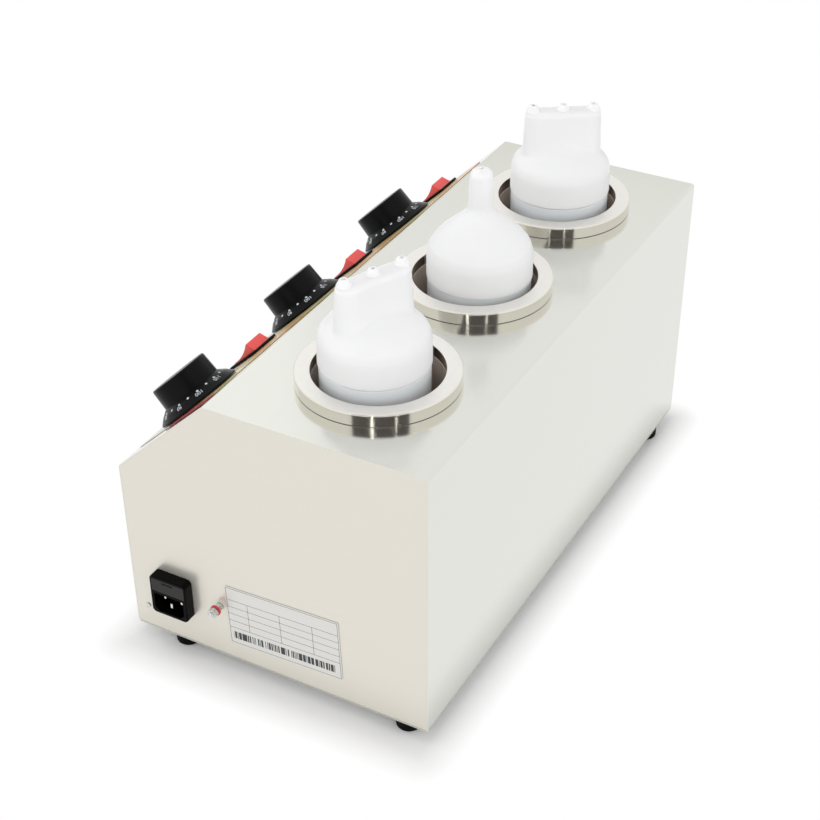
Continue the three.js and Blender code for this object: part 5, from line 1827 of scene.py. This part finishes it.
    def washer(self, node: str, name: str, sides: int, edge: float) -> Piece:
        """A ring or nut on the stud.

        Args:
            node: The node that it stands for.
            name: Its own name.
            sides: How many sides its outline has: a nut's, or many for a round one.
            edge: Radius of its outer edges.

        Returns:
            The piece.
        """
        low, high = corners_mm(node)
        thickness = high.x - low.x
        outline = circle((high.z - low.z) / 2, sides)
        if sides == self.nut_sides:
            corners = circle((high.y - low.y) / 2, sides)
            outline = rounded([(p.real, p.imag, self.nut_corner) for p in corners],
                              steps=self.nut_corner_steps)
        place = on_end(node)
        hole = rod("hole", self.stud_radius + self.stud_fit, (-OVERRUN, thickness + OVERRUN), place)
        return soften(combine(solid(name, prism(outline, 0, thickness, edge, edge), place), Join.CUT, [hole]))

    def plate(self) -> tuple[Piece, Finish]:
        """The rating plate, bare but for rules and bars.

        Returns:
            The plate and its finish.
        """
        low, high = corners_mm("rating_plate")
        tilt = math.radians(self.plate_tilt)
        wide, tall = high.y - low.y, high.z - low.z
        height = (tall * math.cos(tilt) - wide * math.sin(tilt)) / math.cos(2 * tilt)
        width = (wide * math.cos(tilt) - tall * math.sin(tilt)) / math.cos(2 * tilt)
        outline = rectangle(width, height, self.plate_corner)
        piece = solid("rating_plate_foil", prism(outline, 0, high.x - low.x, self.plate_edge),
                      on_end("rating_plate") @ spin(self.plate_tilt, "Z"))
        # Etched aluminium foil: grey and satin, with the rolls' lines along it drawn coarse enough to show
        finish = PlateEtch("etched_foil", "plate_foil", "DEDDD9", 0.42, metallic=0.5,
                           grain_mm=(0.5, 18.0, 0.5), grain_depth_mm=0.004,
                           centre_m=tuple(middle("rating_plate")), tilt_degrees=self.plate_tilt,
                           width_mm=width, height_mm=height)
        return soften(piece), finish

    def end_screw(self) -> Piece:
        """The small domed screw beside the inlet.

        Returns:
            The screw.
        """
        low, high = corners_mm("end_screw")
        length = high.x - low.x
        (shank, tip_edge), (head, rise) = self.screw_shank, self.screw_head
        (rim_drop, rim_edge), (crown_share, crown_edge) = self.screw_rim, self.screw_crown
        seat = length - rise
        return soften(turned("end_screw_turned", [
            (0.0, 0.0, 0.0), (shank, 0.0, tip_edge), (shank, seat, self.screw_neck),
            (head, seat, self.screw_neck), (head, length - rim_drop, rim_edge),
            (head * crown_share, length, crown_edge), (0.0, length, 0.0),
        ], on_end("end_screw"), SMALL_ROUND_STEPS))

    def build(self) -> None:
        """Makes the inlet end's pieces and hands them over."""
        hand_over(self.inlet(), NYLON_BLACK, "inlet_body")
        for name in PIN_NAMES:
            hand_over(self.pin_piece(name), NICKEL, f"inlet_pin_{name}")
        hand_over(self.fuse_drawer(), NYLON_GREY, "fuse_drawer", body="fuse_drawer")
        hand_over(self.fuse(), FUSE_GLASS, "fuse", body="fuse_drawer")
        hand_over(self.stud(), ZINC, "bonding_stud")
        for node, made, sides, edge, finish in (
                ("bonding_lock_nut", "turned", self.nut_sides, self.lock_nut_edge, ZINC),
                ("bonding_ring", "moulded", SMALL_ROUND_STEPS, self.ring_edge, NYLON_RED),
                ("bonding_nut", "turned", SMALL_ROUND_STEPS, self.nut_edge, ZINC)):
            hand_over(self.washer(node, f"{node}_{made}", sides, edge), finish, node)
        hand_over(*self.plate(), "rating_plate")
        hand_over(self.end_screw(), ZINC, "end_screw")


@dataclass
class Overlay:
    """The printed film on the control face with a pointer beside each dial, and the wiring behind it."""

    pointer_angle: float = 72.0
    pointer_tip: Pair = (31.9, 0.2)
    pointer_foot: Pair = (36.2, 0.3)
    pointer_half_width: float = 1.6
    ink: float = 0.06

    def pointer(self, number: int) -> Piece:
        """A printed triangle on the film that points at the dial's edge where it reads its mark.

        Args:
            number: The well's number.

        Returns:
            The pointer.
        """
        point = Vector(joint(f"dial_{number}_turn")["pos_m"])
        film = frame["nodes"]["control_label"].data.vertices
        surface = max((vertex.co - point).dot(NORMAL) for vertex in film) / MM
        (tip, tip_edge), (foot, foot_edge) = self.pointer_tip, self.pointer_foot
        half = self.pointer_half_width
        corners = [(foot, -half, foot_edge), (foot, half, foot_edge), (tip, 0.0, tip_edge)]
        outline = rounded(corners, steps=EDGE_STEPS)
        return solid(f"overlay_pointer_{number}", prism(outline, surface, surface + self.ink),
                     on_slope(f"dial_{number}_turn") @ spin(RIGHT_ANGLE + self.pointer_angle, "Z"))

    def build(self) -> None:
        """Dresses the film and the inner wiring, whose solids stay, and prints the pointers."""
        for number in WELL_NUMBERS:
            hand_over(self.pointer(number), BLACK_INK)
        low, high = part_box("control_label")
        # Polyester film printed from behind: khaki under a thin varnish, with a fine texture that is drawn
        # coarser than it is to show
        film = OverlayPrint("printed_overlay_film", "overlay", "CDBE86", 0.32, shade="C6B67C", coat=0.2,
                            grain_mm=(0.6, 0.6, 0.6), grain_depth_mm=0.004, ends_m=(low.x, high.x),
                            warm_at_m=joint("rocker_1_tilt")["pos_m"][0])
        keep("control_label", film)
        keep("terminal_block", NYLON_NATURAL)
        keep("wiring_loom", SLEEVING)


@dataclass(frozen=True)
class Lamp:
    """A soft square lamp that looks at the object and doesn't show in reflections."""

    name: str
    place_m: Triple
    size_m: float
    watts: float

    def hang(self) -> None:
        """Adds the lamp."""
        data = bpy.data.lights.new(self.name, "AREA")
        data.energy, data.size = self.watts, self.size_m
        lamp = bpy.data.objects.new(self.name, data)
        lamp.location, lamp.rotation_mode = self.place_m, "QUATERNION"
        lamp.rotation_quaternion = (-Vector(self.place_m)).to_track_quat("-Z", "Y")
        lamp.visible_glossy = False
        bpy.context.scene.collection.objects.link(lamp)


@dataclass(frozen=True)
class Card:
    """A curved card round the object that only shows in reflections.

    Its azimuths run from +X and its elevations from the top of the casing, in degrees.
    """

    name: str
    azimuths: Pair
    elevations: Pair
    distance_m: float
    colour: str
    glow: float = 1.0
    steps: int = 24

    def hang(self) -> None:
        """Adds the card."""
        shape = bmesh.new()
        rows = []
        for elevation in self.elevations:
            height = TOP + self.distance_m * math.tan(math.radians(elevation))
            points = arc_profile(0j, self.distance_m, *self.azimuths, self.steps)
            rows.append([shape.verts.new(point) for point in level(points, height)])
        low, high = rows
        for k in range(self.steps):
            shape.faces.new((low[k], low[k + 1], high[k + 1], high[k]))
        piece = solid(self.name, shape, Matrix.Identity(4))
        material = new_material(self.name)
        tree = material.node_tree
        tree.nodes.remove(tree.nodes["Principled BSDF"])
        light = add_node(tree, "Emission", inputs={"Color": linear(self.colour), "Strength": self.glow})
        tree.links.new(light.outputs[0], tree.nodes["Material Output"].inputs["Surface"])
        piece.data.materials.append(material)
        for rays in ("camera", "diffuse", "shadow", "transmission", "volume_scatter"):
            setattr(piece, f"visible_{rays}", False)


@dataclass
class Studio:
    """A plain pale floor, soft light and the camera at the photograph's place."""

    picture_px: float = 820.0
    focal_px: float = 1674.0
    axis_px: Pair = (394.6, 468.2)
    camera_mm: Triple = (906.9, 489.8, 808.2)
    azimuth: float = 209.573
    elevation: float = 36.324
    roll: float = 0.728
    sensor_mm: float = 36.0
    clip_m: Pair = (0.01, 100.0)
    floor_m: float = 14.0
    floor_corner_m: float = 1.75
    floor_depth: float = 20.0
    floor_colour: str = "F2F2F2"
    floor_lift: float = 1.02
    floor_roughness: float = 0.9
    shadow_reach_m: Pair = (0.0, 0.0245)
    footprint_height_m: float = 1.0
    zenith: float = 0.42
    horizon: float = 1.3
    lamps: tuple[Lamp, ...] = (
        Lamp("overhead_lamp", (0.25, -0.2, 2.2), 0.7, 4.5),
        Lamp("fill_lamp", (1.9, 1.3, 1.7), 1.8, 14.5),
        Lamp("side_lamp", (0.0, -1.9, 1.3), 1.6, 5.0),
    )
    cards: tuple[Card, ...] = (
        Card("dark_card", (-2.0, 62.0), (21.0, 39.0), 0.8, "545052"),
        Card("catch_light_wide", (18.8, 21.4), (27.6, 28.5), 0.78, "FFFFFF", 16.0),
        Card("catch_light_small", (45.5, 47.3), (27.4, 28.0), 0.78, "FFFFFF", 16.0),
        Card("far_card", (175.0, 245.0), (2.0, 24.0), 2.2, "EEEDE8"),
        Card("bright_card", (215.0, 255.0), (25.0, 60.0), 2.3, "FFFFFF", 1.14),
    )

    def camera(self) -> None:
        """Sets the camera that the photograph was taken with."""
        azimuth, elevation, roll = (math.radians(v) for v in (self.azimuth, self.elevation, self.roll))
        ahead = Vector((math.cos(elevation) * math.cos(azimuth), math.cos(elevation) * math.sin(azimuth),
                        -math.sin(elevation)))
        level_right = ahead.cross(Vector((0, 0, 1))).normalized()
        level_down = ahead.cross(level_right)
        right = level_right * math.cos(roll) + level_down * math.sin(roll)
        down = level_down * math.cos(roll) - level_right * math.sin(roll)
        data = bpy.data.cameras.new("camera")
        data.sensor_width, data.lens = self.sensor_mm, self.focal_px * self.sensor_mm / self.picture_px
        half, (axis_x, axis_y) = self.picture_px / 2, self.axis_px
        data.shift_x, data.shift_y = (half - axis_x) / self.picture_px, (axis_y - half) / self.picture_px
        data.clip_start, data.clip_end = self.clip_m
        camera = bpy.data.objects.new("camera", data)
        turn = Matrix((right, -down, -ahead)).transposed().to_4x4()
        camera.matrix_world = Matrix.Translation(Vector(self.camera_mm) * MM) @ turn
        bpy.context.scene.collection.objects.link(camera)
        bpy.context.scene.camera = camera

    @staticmethod
    def shown(tree: Tree) -> Socket:
        """One for rays that show or mirror what they meet, or see it through glass, else zero.

        Args:
            tree: The nodes.

        Returns:
            The value.
        """
        path = add_node(tree, "LightPath").outputs
        seen, mirrored, through = (path[f"Is {rays} Ray"] for rays in ("Camera", "Glossy", "Transmission"))
        found = add_node(tree, "Math", seen, mirrored, operation="MAXIMUM").outputs[0]
        return add_node(tree, "Math", found, through, operation="MAXIMUM").outputs[0]

    def world(self) -> None:
        """Soft light, stronger from the sides than from above; what is seen or mirrored of it is white."""
        world = bpy.data.worlds.new("soft_box")
        world.use_nodes = True
        tree = world.node_tree
        background = tree.nodes["Background"]
        background.inputs["Color"].default_value = (1, 1, 1, 1)
        direction = add_node(tree, "TexCoord").outputs["Generated"]
        height = add_node(tree, "SeparateXYZ", direction).outputs["Z"]
        soft = add_node(tree, "MapRange", height, 0.0, 1.0, self.horizon, self.zenith).outputs[0]
        strength = add_node(tree, "MapRange", self.shown(tree), 0.0, 1.0, soft, 1.0).outputs[0]
        tree.links.new(strength, background.inputs["Strength"])
        bpy.context.scene.world = world

    def away(self, tree: Tree) -> Socket:
        """A floor point's distance from the object's footprint, in metres.

        Args:
            tree: The floor's nodes.

        Returns:
            The distance.
        """
        low, high = CAD_BOX
        footprint = (max(abs(low[0]), high[0]), max(abs(low[1]), high[1]), self.footprint_height_m)
        place = add_node(tree, "TexCoord").outputs["Object"]
        for operation, *others in (("ABSOLUTE",), ("SUBTRACT", footprint), ("MAXIMUM", (0, 0, 0))):
            place = add_node(tree, "VectorMath", place, *others, operation=operation).outputs["Vector"]
        return add_node(tree, "VectorMath", place, operation="LENGTH").outputs["Value"]

    def floor(self) -> None:
        """A pale floor that keeps the object's shadow and turns plain white further out."""
        side = self.floor_m / MM
        outline = rectangle(side, side, self.floor_corner_m / MM)
        piece = solid("floor", prism(outline, -self.floor_depth, 0.0), IN_FRAME)
        material = new_material("white_floor")
        tree = material.node_tree
        shader = tree.nodes["Principled BSDF"]
        shader.inputs["Roughness"].default_value = self.floor_roughness
        shader.inputs["Specular IOR Level"].default_value = 0.0
        plain = linear(self.floor_colour)
        *channels, alpha = plain
        lifted = [channel * self.floor_lift for channel in channels] + [alpha]
        shown = self.shown(tree)
        mixed = {MIX_SHARE: shown, MIX_FIRST: plain, MIX_SECOND: lifted}
        colour = add_node(tree, "Mix", inputs=mixed, data_type="RGBA").outputs[MIX_RESULT]
        tree.links.new(colour, shader.inputs["Base Color"])
        beyond = add_node(tree, "MapRange", self.away(tree), *self.shadow_reach_m).outputs[0]
        white = add_node(tree, "Emission").outputs[0]
        share = add_node(tree, "Math", shown, beyond, operation="MULTIPLY").outputs[0]
        mix = add_node(tree, "MixShader", share, shader.outputs[0], white)
        tree.links.new(mix.outputs[0], tree.nodes["Material Output"].inputs["Surface"])
        piece.data.materials.append(material)

    def build(self) -> None:
        """Sets the camera, the floor and the light."""
        bpy.context.scene.view_settings.view_transform = "Standard"
        self.camera()
        self.world()
        self.floor()
        for item in (*self.lamps, *self.cards):
            item.hang()


def main() -> None:
    """Builds the scene in order and reports each piece."""
    logging.basicConfig(level=logging.INFO, format="%(name)s: %(message)s")
    for part in (Studio(), Casing(), Wells(), Bottles(), Dials(), Switches(), InletEnd(), Overlay()):
        log.info("building %s", type(part).__name__)
        part.build()
    bpy.context.view_layer.update()


if __name__ == "__main__":
    main()
